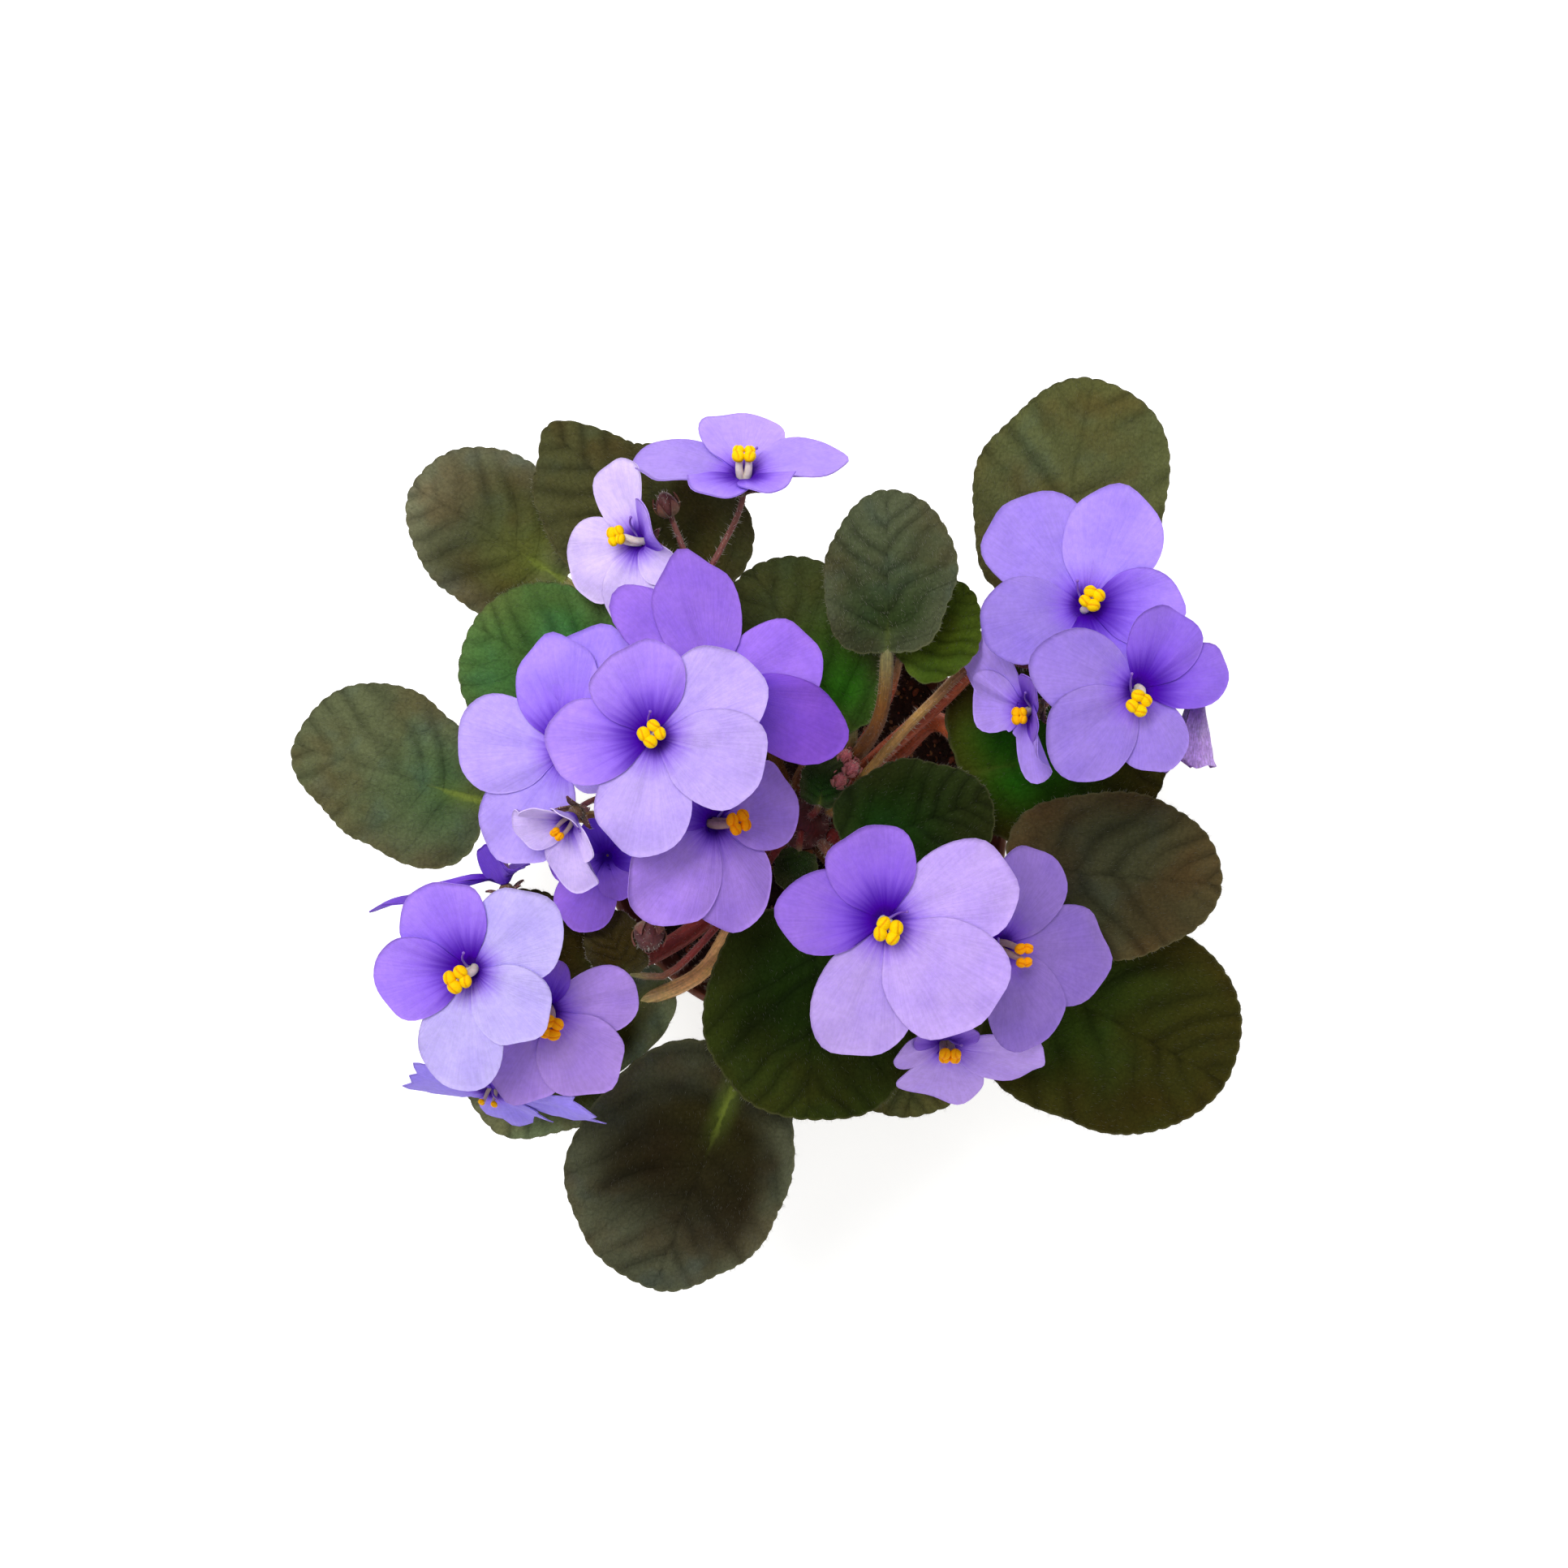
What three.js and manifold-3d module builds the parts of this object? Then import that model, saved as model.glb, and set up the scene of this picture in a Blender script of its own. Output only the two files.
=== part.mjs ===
// Potted African violet: a rosette of hairy, scalloped leaves on long stalks, and five sprays of
// violet-blue five-lobed flowers, growing in a small round plastic nursery pot.
// Units are millimetres, +Z up. The origin is the centre of the pot's flat base.
// +X is to the right and +Y to the back of the plant as it is seen from straight above.

import * as THREE from "three";
import Module from "manifold-3d";
import { mergeVertices } from "three/addons/utils/BufferGeometryUtils.js";

// Pot and soil
const POT_HEIGHT = 80;
const POT_RIM_RADIUS = 46.5;
const POT_COLLAR_RADIUS = 45.1;
const POT_COLLAR_HEIGHT = 11;
const POT_WALL_TOP_RADIUS = 43.9;
const POT_BASE_RADIUS = 32;
const POT_WALL = 1.6;
const POT_FLOOR = 2;
const POT_SIDES = 32;
const DRAIN_HOLES = 6;
const DRAIN_RADIUS = 4;
const DRAIN_CIRCLE_RADIUS = 19;
const SOIL_TOP = 70;
const SOIL_ROUGHNESS = 1.1;
const FIT_GAP = 0.3;

// Crown: the short upright stem that every leaf and flower stalk grows from
const CROWN_RADIUS = 5.8;
const CROWN_BOTTOM = 60;
const CROWN_TOP = 89;
const CROWN_SIDES = 18;
const STALK_START_RADIUS = CROWN_RADIUS + 0.55;
const LEAF_TIERS = [75.5, 80, 84.5];

// Leaf blades and their stalks
const BLADE_THICKNESS = 1;
const BLADE_RING_COUNTS = [9, 18, 36];
const BLADE_RING_REACH = [0.36, 0.7];
const YOUNG_BLADE_RING_COUNTS = [8, 16];
const SCALLOP_DEPTH = 0.01;
const PETIOLE_RADIUS = 1.55;
const PETIOLE_SIDES = 5;
const PETIOLE_STEPS = 6;

// Flowers
const PETAL_THICKNESS = 0.7;
const THROAT_RADIUS = 1.9;
const THROAT_DEPTH = 1.7;
const CLEFT_REACH = 0.45;
const LOBE_SHOULDER = 1.3;
const LOBE_SAMPLES = [-1, -0.88, -0.45, 0, 0.45, 0.88];
const LOBE_INNER_SAMPLES = [-1, -0.4, 0.4];
const ANTHER_SIZE = new THREE.Vector3(1.7, 1.25, 1.1);
const ANTHER_HEIGHT = 4.2;
const ANTHER_SPACING = 1.3;
const CALYX_LENGTH = 2.4;
const CALYX_RADIUS = 1.6;
const SEPALS = 5;
const SEPAL_LENGTH = 4.4;
const SEPAL_THICKNESS = 0.6;
const PEDICEL_RADIUS = 0.6;
const PEDUNCLE_RADIUS = 1.15;

const COLOURS = {
  pot: 0x5b2f26,
  soil: 0x1d1512,
  crown: 0x5c6338,
  leaf: 0x35422a,
  stalk: 0x6b3038,
  petals: 0x9d7de6,
  anthers: 0xf6b713,
};

// Every leaf: the point where its stalk meets the blade, the blade's tip and width, where the
// stalk leaves the crown (bearing in degrees, tier), and the blade's shape in millimetres:
// roll lifts its left side (degrees), cup lifts both margins, arch lifts the middle of the
// midrib, fold makes a V along it, wave ripples the margin, point draws out the tip, and bulge
// holds how far the margin stands out from a plain oval in 8 directions from the blade's middle,
// from the tip round by its left side.
const LEAVES = [
  { base: [-52.2, 53, 94], tip: [-86.5, 74.6, 92], width: 35, start: [134, 0], cup: 1.5, arch: 2,
    bulge: [-0.8, -3.2, -1.8, 0.5, 0, 0.5, 0.4, -0.2] },
  { base: [-18.5, 51.5, 99], tip: [-55.9, 86.6, 97], width: 38, start: [116, 1], roll: 4, fold: 4.5,
    arch: 1, point: 0.17, bulge: [-4.4, -1.4, 0.5, 0, 2, 0.2, -3.5, -8.6] },
  { base: [-36, 22.8, 101], tip: [-71.5, 43.2, 99], width: 37, start: [152, 2], roll: -6, cup: -1.5,
    arch: 3, bulge: [0, 1, 2, 0, 0, 0, 0, -0.3] },
  { base: [-69.6, 4.5, 93], tip: [-113.4, 17.6, 88], width: 38, start: [176, 0], roll: 2, cup: 2,
    arch: 2.5, bulge: [-0.7, -4.9, -3, 1.4, 0, -2.8, 0, -0.2] },
  { base: [10.8, 20.1, 102], tip: [-11.3, 54.9, 105], width: 34, start: [97, 2], roll: -4, cup: 1,
    arch: 2, bulge: [-0.5, -0.3, 0, 0, 0.3, -1.8, 0, 0] },
  { base: [17.4, 36, 116], tip: [17, 69.9, 119], width: 28, start: [62, 2], cup: 2.2, arch: 2.5,
    wave: 0.8, via: [[11.8, 15.3, 98], [15.6, 21.2, 107], [17, 28, 112]],
    bulge: [-0.8, -2.2, -0.8, 0, 0, -1.2, 0.2, -0.5], petiole: 1.75 },
  { base: [20.1, 35, 110], tip: [35, 49.5, 111], width: 21, start: [56, 0], cup: 1, arch: 1,
    petiole: 0.95, via: [[18, 26, 99]], bulge: [0, 0, 0, 0, 0, 0.9, 0.2, -0.9] },
  { base: [53.3, 48.3, 94], tip: [63.1, 97.2, 97], width: 42, start: [36, 1], cup: 2, arch: 3,
    bulge: [-0.7, -3, 0.5, -0.4, 0, 0, -0.7, 0.3], petiole: 2.05,
    via: [[15.5, 13.6, 91.5], [28, 25, 95.2], [38, 35, 99.5]] },
  { base: [40.2, 11.8, 95], tip: [79.9, 19.5, 92], width: 37, start: [18, 0], roll: 5, cup: -1.5,
    arch: 2.5, bulge: [0, 0, 2, 8.5, 6, 3, 0.5, 0.5], petiole: 2.6,
    via: [[13.5, 9, 79.5], [22, 16.5, 84.5], [29.5, 22.5, 87.5]] },
  { base: [9.6, -5.2, 99], tip: [40.2, 5.8, 104], width: 25, start: [-26, 2], roll: 3, cup: 1.2,
    arch: 2, bulge: [-0.4, -0.6, 2.2, 2, 0.5, 0, 1, 0.8] },
  { base: [46.8, -9.3, 98], tip: [90.3, -13.2, 100], width: 35, start: [-8, 1], roll: 4, cup: 1.5,
    arch: 3, bulge: [-0.2, -0.3, 1, -0.9, 0.8, 0, 0.3, -1.6] },
  { base: [48.5, -33, 90], tip: [94, -57.8, 87], width: 49, start: [-32, 0], cup: 1.5, arch: 2.5,
    bulge: [0, 0, 0, 0, 0, 4.6, -1, -2.2] },
  { base: [3.2, -20.8, 97], tip: [0.9, -65.1, 95], width: 42, start: [-84, 2], cup: 1.5, arch: 2,
    bulge: [-0.6, 1.4, 1.8, 1, 0, 3, 2.9, 0.4] },
  { base: [22.6, -29.6, 88], tip: [24, -66, 85], width: 34, start: [-56, 1], cup: 0.5, arch: 2,
    bulge: [-0.5, 0, 0, 0, 0, 0, 0, 0] },
  { base: [-15.6, -59.1, 88], tip: [-33.5, -104, 85], width: 47, start: [-98, 0], cup: 2, arch: 3,
    bulge: [0, -5.1, -4.2, -1.4, 8, 5.5, 5.3, 1.8] },
  { base: [-36.2, -39.7, 86], tip: [-69.9, -68, 84], width: 34, start: [-143, 0], roll: -4, cup: 1,
    arch: 2, bulge: [0, -4.3, -3, -8, 8, -2, 0, 3.5], petiole: 2,
    via: [[-12, -15.5, 79.5], [-21.5, -32.5, 83.5], [-28, -36.8, 85]] },
  { base: [-44.8, -32.5, 91], tip: [-69.4, -17.3, 89.5], width: 24, start: [-155, 1], roll: 4, cup: 1,
    arch: 2, petiole: 2.3, via: [[-18.6, -18.8, 86], [-33.8, -29.4, 89.5]],
    bulge: [-0.3, 0, 0, 0, 0, -3, -3.5, -3] },
];

// Young leaves that are still one with the crown
const YOUNG_LEAVES = [
  { base: [-38, -33.4, 95], tip: [-43.9, -19.2, 97], width: 13, root: [-4, -3.5, 86], cup: 1.4,
    arch: 0.5, petiole: 0.9 },
  { base: [3.5, 4, 95], tip: [5.5, 15.5, 100], width: 10, root: [1.5, 1.5, 86], cup: 1.2, arch: 0.4,
    petiole: 0.9 },
  { base: [-1, -6, 94], tip: [-2.5, -15, 98], width: 9.5, root: [-0.5, -2, 86], cup: 1.2, arch: 0.4,
    petiole: 0.9 },
];

// Bud tips of the young spray on the crown
const CROWN_BUDS = [
  [10.5, 7.5, 100],
  [12.5, 10, 101],
  [9, 11, 98],
];

// Every flower: the middle of its throat, the way it leans (bearing, degrees), and its five
// lobes counter-clockwise: bearing in the flower's own plane, length, lift in degrees, width.
// anthers says how far aside the anthers stand, in the same plane.
const FLOWERS = [
  { spray: "a", at: [-12.5, 72.5, 120], lean: [88, 44], anthers: [0, 1.4],
    lobes: [[92, 20.5, 6, 0.42], [172, 22.5, 6, 0.36], [235, 15, 22, 0.42],
      [305, 14, 28, 0.4], [16, 21.8, 6, 0.32]] },
  { spray: "a", at: [-34.5, 59, 116.5], lean: [185, 38], anthers: [-2.4, 1.1],
    lobes: [[106, 18, 10, 0.36], [197, 19.5, 8, 0.44], [262, 20, -4, 0.38],
      [318, 11, -10, 0.4], [25, 12, 45, 0.4]] },
  { spray: "a", at: [-18.4, 28.1, 125.5], lean: [50, 12], from: 0.5,
    lobes: [[103, 27, 2, 0.31], [134, 28.5, -3, 0.21], [235, 14, 2, 0.4],
      [340, 29.3, -4, 0.27], [22, 22.8, 6, 0.38]] },
  { spray: "b", at: [-30, 18, 136], lean: [-30, 6], anthers: [-0.5, 0.7],
    lobes: [[34, 25, 6, 0.38], [106, 19, 10, 0.48], [183, 21, 8, 0.39],
      [261, 24, 4, 0.38], [341, 23, 6, 0.42]] },
  { spray: "b", at: [-49, 15.5, 120], lean: [180, 8],
    lobes: [[74, 27, -2, 0.32], [99, 23.5, 0, 0.36], [175, 23.5, 2, 0.42],
      [236, 27.5, -8, 0.34], [320, 11, 0, 0.4]] },
  { spray: "b", at: [-48, 1, 125.5], lean: [235, 42], anthers: [-1.1, -1.4],
    lobes: [[70, 8, 50, 0.4], [130, 9, 50, 0.42], [198, 12.5, 12, 0.42],
      [273, 17, 6, 0.36], [345, 9, 45, 0.4]] },
  { spray: "b", at: [-42, -7, 107], lean: [250, 14], from: 0.6,
    lobes: [[8, 9, 5, 0.4], [110, 9, 5, 0.4], [185, 13, -6, 0.4],
      [243, 18, -4, 0.36], [290, 10, -4, 0.4]] },
  { spray: "c", at: [-64.5, -11, 104], lean: [104, 80],
    lobes: [[110, 7, 10, 0.4], [180, 29, 0, 0.22], [262, 6.5, 63, 0.42],
      [310, 7, 20, 0.4], [45, 7, 10, 0.4]] },
  { spray: "b", at: [-18.7, 0.7, 119], lean: [0, 32], anthers: [3.6, 0],
    lobes: [[15, 21.5, 0, 0.42], [85, 13, 4, 0.42], [150, 13, 4, 0.4],
      [230, 24.5, 0, 0.42], [290, 23, 0, 0.42]] },
  { spray: "c", at: [-67.5, -29, 128], lean: [225, 14], anthers: [-1.4, -0.9],
    lobes: [[37, 22.5, 6, 0.42], [118, 19.5, 8, 0.48], [188, 20.5, 6, 0.4],
      [261, 25.5, 2, 0.34], [322, 19, 4, 0.44]] },
  { spray: "c", at: [-53.5, -38.5, 116], lean: [-60, 16], anthers: [0.6, -2.4],
    lobes: [[8, 19.5, 4, 0.36], [92, 12, 4, 0.42], [160, 12, 4, 0.42],
      [248, 21.5, 0, 0.38], [303, 21.5, 0, 0.42]] },
  { spray: "c", at: [-67, -57.5, 103], lean: [255, 60],
    lobes: [[60, 7, 0, 0.4], [125, 7, 0, 0.4], [176, 21, 6, 0.36],
      [295, 19, 0, 0.44], [1, 27.5, 2, 0.22]] },
  { spray: "d", at: [16, -18.5, 137], lean: [-60, 5], anthers: [0, -1.3],
    lobes: [[20, 27, 5, 0.37], [105, 20, 9, 0.42], [170, 21.5, 8, 0.38],
      [254, 29, 2, 0.33], [315, 28, 3, 0.42]] },
  { spray: "d", at: [40, -24.5, 122.5], lean: [-5, 30], anthers: [3.1, -1.8],
    lobes: [[59, 22.5, 2, 0.38], [130, 12, 8, 0.38], [215, 12, 8, 0.38],
      [295, 24, 2, 0.38], [349, 30, 0, 0.34]] },
  { spray: "d", at: [30, -46.5, 111], lean: [-95, 46], anthers: [0.7, 2],
    lobes: [[60, 9, 10, 0.4], [128, 9, 20, 0.4], [178, 11, 30, 0.36],
      [268, 20.5, 2, 0.44], [350, 21.5, 2, 0.36]] },
  { spray: "e", at: [57.5, 45, 123], lean: [110, 12], anthers: [1, 0.4],
    lobes: [[357, 20, 2, 0.4], [67, 26, 2, 0.38], [123, 27.5, 0, 0.4],
      [192, 22, 4, 0.4], [285, 15, 0, 0.4]] },
  { spray: "e", at: [67, 27.5, 131], lean: [-15, 12], anthers: [-1.6, -2.6],
    lobes: [[13, 19.5, 6, 0.31], [62, 17, 14, 0.37], [166, 22.5, 4, 0.37],
      [220, 23.5, 2, 0.38], [288, 17, 2, 0.42]] },
  { spray: "e", at: [46, 24, 117], lean: [185, 52], anthers: [2.4, -0.9],
    lobes: [[40, 10, 38, 0.4], [142, 22, 6, 0.3], [171, 16, 4, 0.4],
      [295, 15.5, 4, 0.36], [330, 10, 38, 0.4]] },
];
const FLOWERS_WITH_HIDDEN_ANTHERS = [7];

// Every spray: where its stem leaves the crown (bearing, height), the points the stem passes
// through up to its fork, and its buds: tip point, radius, length, share of the stem that they
// leave at, and the way that they point, where it isn't straight on from the stem
const SPRAYS = {
  a: { start: [118, 88], route: [[-14, 16, 101], [-20, 30, 107], [-22, 49, 112]],
    buds: [{ tip: [-29.5, 69, 117], radius: 2.4, length: 5.4 }] },
  b: { start: [160, 88], route: [[-13, 5, 101], [-25, 8, 111]], buds: [] },
  c: { start: [192, 87.5],
    route: [[-19, -7, 94], [-39, -11.5, 96.5], [-50, -17.5, 97.5], [-57, -21, 103]],
    buds: [{ tip: [-33, -26.2, 106], radius: 3.3, length: 6.4, from: 0.55 }] },
  d: { start: [-48, 88], route: [[11.5, -13, 104], [18.5, -21, 112]], buds: [] },
  e: { start: [22, 88], route: [[15.6, 13, 96.5], [27.4, 26, 101], [38, 34.8, 104.5], [53, 33, 108]],
    buds: [{ tip: [80.8, 11.5, 111.5], radius: 3.8, length: 13.6, way: [-0.12, -1, 0] }] },
};

const wasm = await Module();
wasm.setup();

const vector = (point) => new THREE.Vector3(...point);
const degrees = THREE.MathUtils.degToRad;
const mix = THREE.MathUtils.lerp;
const bump = (x, width) => Math.exp(-((x / width) ** 2));
const polar = (radius, bearing, z) =>
  new THREE.Vector3(radius * Math.cos(degrees(bearing)), radius * Math.sin(degrees(bearing)), z);

// The angle between two directions, from 0 to half a turn
function angleBetween(first, second) {
  return Math.abs(THREE.MathUtils.euclideanModulo(first - second + Math.PI, 2 * Math.PI) - Math.PI);
}

// A repeatable number from 0 to 1 for each whole number
function draw(index) {
  const value = Math.sin(index * 127.1 + 311.7) * 43758.5453;
  return value - Math.floor(value);
}

function toManifold(geometry) {
  const bare = geometry.clone();
  bare.deleteAttribute("normal");
  bare.deleteAttribute("uv");
  const merged = mergeVertices(bare, 1e-4);
  return new wasm.Manifold(new wasm.Mesh({
    numProp: 3,
    vertProperties: new Float32Array(merged.attributes.position.array),
    triVerts: new Uint32Array(merged.index.array),
  }));
}

function toGeometry(solid) {
  const mesh = solid.getMesh();
  const geometry = new THREE.BufferGeometry();
  geometry.setAttribute("position", new THREE.BufferAttribute(new Float32Array(mesh.vertProperties), 3));
  geometry.setIndex(new THREE.BufferAttribute(new Uint32Array(mesh.triVerts), 1));
  return geometry;
}

function fuse(geometries) {
  return toGeometry(geometries.map(toManifold).reduce((all, piece) => all.add(piece)));
}

function geometryFrom(points, triangles) {
  const geometry = new THREE.BufferGeometry();
  geometry.setAttribute("position", new THREE.Float32BufferAttribute(points.flatMap((p) => p.toArray()), 3));
  geometry.setIndex(triangles.flat());
  return geometry;
}

// A thin closed sheet round a centre. Each ring is a list of { angle, point, normal, thickness }
// with rising angles; the upper and the lower face share one triangulation.
function sheet(centre, rings) {
  const nodes = [centre, ...rings.flat()];
  const firsts = rings.map((_, index) => 1 + rings.slice(0, index).flat().length);
  const upper = nodes.map((n) => n.point.clone().addScaledVector(n.normal, n.thickness / 2));
  const lower = nodes.map((n) => n.point.clone().addScaledVector(n.normal, -n.thickness / 2));
  const face = [];
  rings[0].forEach((_, i) => face.push([0, 1 + i, 1 + (i + 1) % rings[0].length]));
  for (let k = 1; k < rings.length; k++) {
    face.push(...stitch(rings[k - 1], rings[k], firsts[k - 1], firsts[k]));
  }
  const count = nodes.length;
  const edge = rings.at(-1);
  const first = firsts.at(-1);
  const triangles = [...face, ...face.map(([a, b, c]) => [a + count, c + count, b + count])];
  edge.forEach((_, i) => {
    const here = first + i;
    const next = first + (i + 1) % edge.length;
    triangles.push([here, here + count, next + count], [here, next + count, next]);
  });
  return geometryFrom([...upper, ...lower], triangles);
}

// The triangles between two rings, each step advancing the ring that lags behind in angle
function stitch(inner, outer, firstInner, firstOuter) {
  const turn = 2 * Math.PI;
  const angleAt = (ring, i) => ring[i % ring.length].angle + (i >= ring.length ? turn : 0);
  const triangles = [];
  let i = 0;
  let j = 0;
  while (i < inner.length || j < outer.length) {
    const a = firstInner + (i % inner.length);
    const b = firstOuter + (j % outer.length);
    const nextInner = i < inner.length ? angleAt(inner, i + 1) : Infinity;
    const nextOuter = j < outer.length ? angleAt(outer, j + 1) : Infinity;
    if (nextOuter <= nextInner) {
      j += 1;
      triangles.push([a, b, firstOuter + (j % outer.length)]);
    } else {
      i += 1;
      triangles.push([a, b, firstInner + (i % inner.length)]);
    }
  }
  return triangles;
}

// A round stem through the given points, whose radius runs from the first to the last value
function stem(points, startRadius, endRadius, sides, steps) {
  const curve = new THREE.CatmullRomCurve3(points, false, "centripetal");
  const frames = curve.computeFrenetFrames(steps, false);
  const vertices = [];
  const triangles = [];
  for (let k = 0; k <= steps; k++) {
    const centre = curve.getPointAt(k / steps);
    const radius = mix(startRadius, endRadius, k / steps);
    for (let s = 0; s < sides; s++) {
      const angle = (2 * Math.PI * s) / sides;
      vertices.push(centre.clone()
        .addScaledVector(frames.normals[k], radius * Math.cos(angle))
        .addScaledVector(frames.binormals[k], radius * Math.sin(angle)));
    }
  }
  for (let k = 0; k < steps; k++) {
    for (let s = 0; s < sides; s++) {
      const a = k * sides + s;
      const b = k * sides + (s + 1) % sides;
      triangles.push([a, b, b + sides], [a, b + sides, a + sides]);
    }
  }
  const last = steps * sides;
  for (let s = 1; s < sides - 1; s++) {
    triangles.push([0, s + 1, s], [last, last + s, last + s + 1]);
  }
  return geometryFrom(vertices, triangles);
}

// Pot: a tapered cup with a collar at the rim and drain holes in the floor
function buildPot() {
  const collarFoot = POT_HEIGHT - POT_COLLAR_HEIGHT;
  const profile = [
    [0, 0],
    [POT_BASE_RADIUS, 0],
    [POT_WALL_TOP_RADIUS, collarFoot],
    [POT_COLLAR_RADIUS, collarFoot + 0.8],
    [POT_RIM_RADIUS, POT_HEIGHT - 0.8],
    [POT_RIM_RADIUS - 0.5, POT_HEIGHT],
    [POT_RIM_RADIUS - POT_WALL, POT_HEIGHT],
    [POT_WALL_TOP_RADIUS - POT_WALL, collarFoot],
    [POT_BASE_RADIUS - POT_WALL, POT_FLOOR],
    [0, POT_FLOOR],
  ];
  const cup = new THREE.LatheGeometry(profile.map(([r, z]) => new THREE.Vector2(r, z)), POT_SIDES);
  cup.rotateX(Math.PI / 2);
  let solid = toManifold(cup);
  for (let i = 0; i < DRAIN_HOLES; i++) {
    const hole = new THREE.CylinderGeometry(DRAIN_RADIUS, DRAIN_RADIUS, 3 * POT_FLOOR, 10);
    hole.rotateX(Math.PI / 2);
    const place = polar(DRAIN_CIRCLE_RADIUS, (360 * (i + 0.5)) / DRAIN_HOLES, POT_FLOOR / 2);
    hole.translate(place.x, place.y, place.z);
    solid = solid.subtract(toManifold(hole));
  }
  return toGeometry(solid);
}

function potInnerRadius(z) {
  const collarFoot = POT_HEIGHT - POT_COLLAR_HEIGHT;
  if (z > collarFoot) {
    return mix(POT_WALL_TOP_RADIUS, POT_RIM_RADIUS, (z - collarFoot) / POT_COLLAR_HEIGHT) - POT_WALL;
  }
  return mix(POT_BASE_RADIUS, POT_WALL_TOP_RADIUS, (z - POT_FLOOR) / (collarFoot - POT_FLOOR)) - POT_WALL;
}

// Soil: fills the pot, with a crumbly top and a plain round hole for the crown
function buildSoil() {
  const counts = [10, 20, 30, POT_SIDES];
  const floor = POT_FLOOR + FIT_GAP;
  const topEdge = potInnerRadius(SOIL_TOP) - 1.5 * FIT_GAP;
  const vertices = [];
  const rings = counts.map((count, k) => {
    const ring = [];
    for (let i = 0; i < count; i++) {
      const isEdge = k === counts.length - 1;
      const share = (k + 1) / counts.length;
      const z = SOIL_TOP + SOIL_ROUGHNESS * (draw(k * 50 + i) - 0.5) * (isEdge ? 0.4 : 2);
      const angle = (2 * Math.PI * i) / count;
      const radius = topEdge * share;
      ring.push({ angle, index: vertices.length });
      vertices.push(new THREE.Vector3(radius * Math.cos(angle), radius * Math.sin(angle), z));
    }
    return ring;
  });
  const centre = vertices.push(new THREE.Vector3(0, 0, SOIL_TOP)) - 1;
  const foot = rings.at(-1).map(({ angle }) => {
    const radius = potInnerRadius(floor) - 1.5 * FIT_GAP;
    return vertices.push(new THREE.Vector3(radius * Math.cos(angle), radius * Math.sin(angle), floor)) - 1;
  });
  const under = vertices.push(new THREE.Vector3(0, 0, floor)) - 1;
  const triangles = [];
  rings[0].forEach(({ index }, i) => {
    triangles.push([centre, index, rings[0][(i + 1) % rings[0].length].index]);
  });
  for (let k = 1; k < rings.length; k++) {
    triangles.push(...stitch(rings[k - 1], rings[k], rings[k - 1][0].index, rings[k][0].index));
  }
  rings.at(-1).forEach(({ index }, i) => {
    const next = (i + 1) % foot.length;
    const nextTop = rings.at(-1)[next].index;
    triangles.push([index, foot[i], foot[next]], [index, foot[next], nextTop], [under, foot[next], foot[i]]);
  });
  const hole = new THREE.CylinderGeometry(CROWN_RADIUS + FIT_GAP, CROWN_RADIUS + FIT_GAP, 30, CROWN_SIDES);
  hole.rotateX(Math.PI / 2);
  hole.translate(0, 0, CROWN_BOTTOM - FIT_GAP + 15);
  return toGeometry(toManifold(geometryFrom(vertices, triangles)).subtract(toManifold(hole)));
}

// A leaf's own frame: along its midrib, across it to the left, and up out of the blade
function leafFrame(leaf) {
  const base = vector(leaf.base);
  const along = vector(leaf.tip).sub(base);
  const length = along.length();
  along.normalize();
  const across = new THREE.Vector3(0, 0, 1).cross(along).normalize();
  across.applyAxisAngle(along, degrees(leaf.roll ?? 0));
  return { base, along, across, up: along.clone().cross(across), length };
}

// How far the blade reaches from its middle at an angle from the tip's direction
function bladeReach(leaf, length, angle) {
  const alongHalf = length / 2;
  const acrossHalf = leaf.width / 2;
  const power = 2.15;
  const oval = ((Math.abs(Math.cos(angle)) / alongHalf) ** power
    + (Math.abs(Math.sin(angle)) / acrossHalf) ** power) ** (-1 / power);
  const fromBase = Math.PI - Math.abs(angle);
  const earLobes = 0.11 * bump(fromBase - 0.55, 0.35);
  const notch = 0.02 * bump(fromBase, 0.16);
  const tipPoint = (leaf.point ?? 0.02) * bump(angle, 0.24);
  const swelling = (leaf.bulge ?? []).reduce((sum, size, index, all) => {
    const fromMiddle = angleBetween(angle, (2 * Math.PI * index) / all.length);
    return sum + size * (1 + Math.cos(Math.min((fromMiddle * all.length) / 2, Math.PI))) / 2;
  }, 0);
  return oval * (1 + earLobes - notch + tipPoint) + swelling;
}

// Height of the blade above its plane, at a share of its length and of its half width
function bladeHeight(leaf, share, side, angle, reach) {
  return (leaf.arch ?? 0) * 4 * share * (1 - share)
    + (leaf.cup ?? 0) * side ** 2
    + (leaf.fold ?? 0) * (Math.sqrt(side ** 2 + 0.02) - 0.14)
    + (leaf.wave ?? 0.5) * reach ** 3 * Math.sin(5 * angle + leaf.width);
}

function bladePoint(leaf, frame, reach, angle, scallop = 0) {
  const radius = reach * bladeReach(leaf, frame.length, angle) * (1 + scallop);
  const alongDistance = frame.length / 2 + radius * Math.cos(angle);
  const acrossDistance = radius * Math.sin(angle);
  const share = alongDistance / frame.length;
  const height = bladeHeight(leaf, share, acrossDistance / (leaf.width / 2), angle, reach);
  return frame.base.clone()
    .addScaledVector(frame.along, alongDistance)
    .addScaledVector(frame.across, acrossDistance)
    .addScaledVector(frame.up, height);
}

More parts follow.
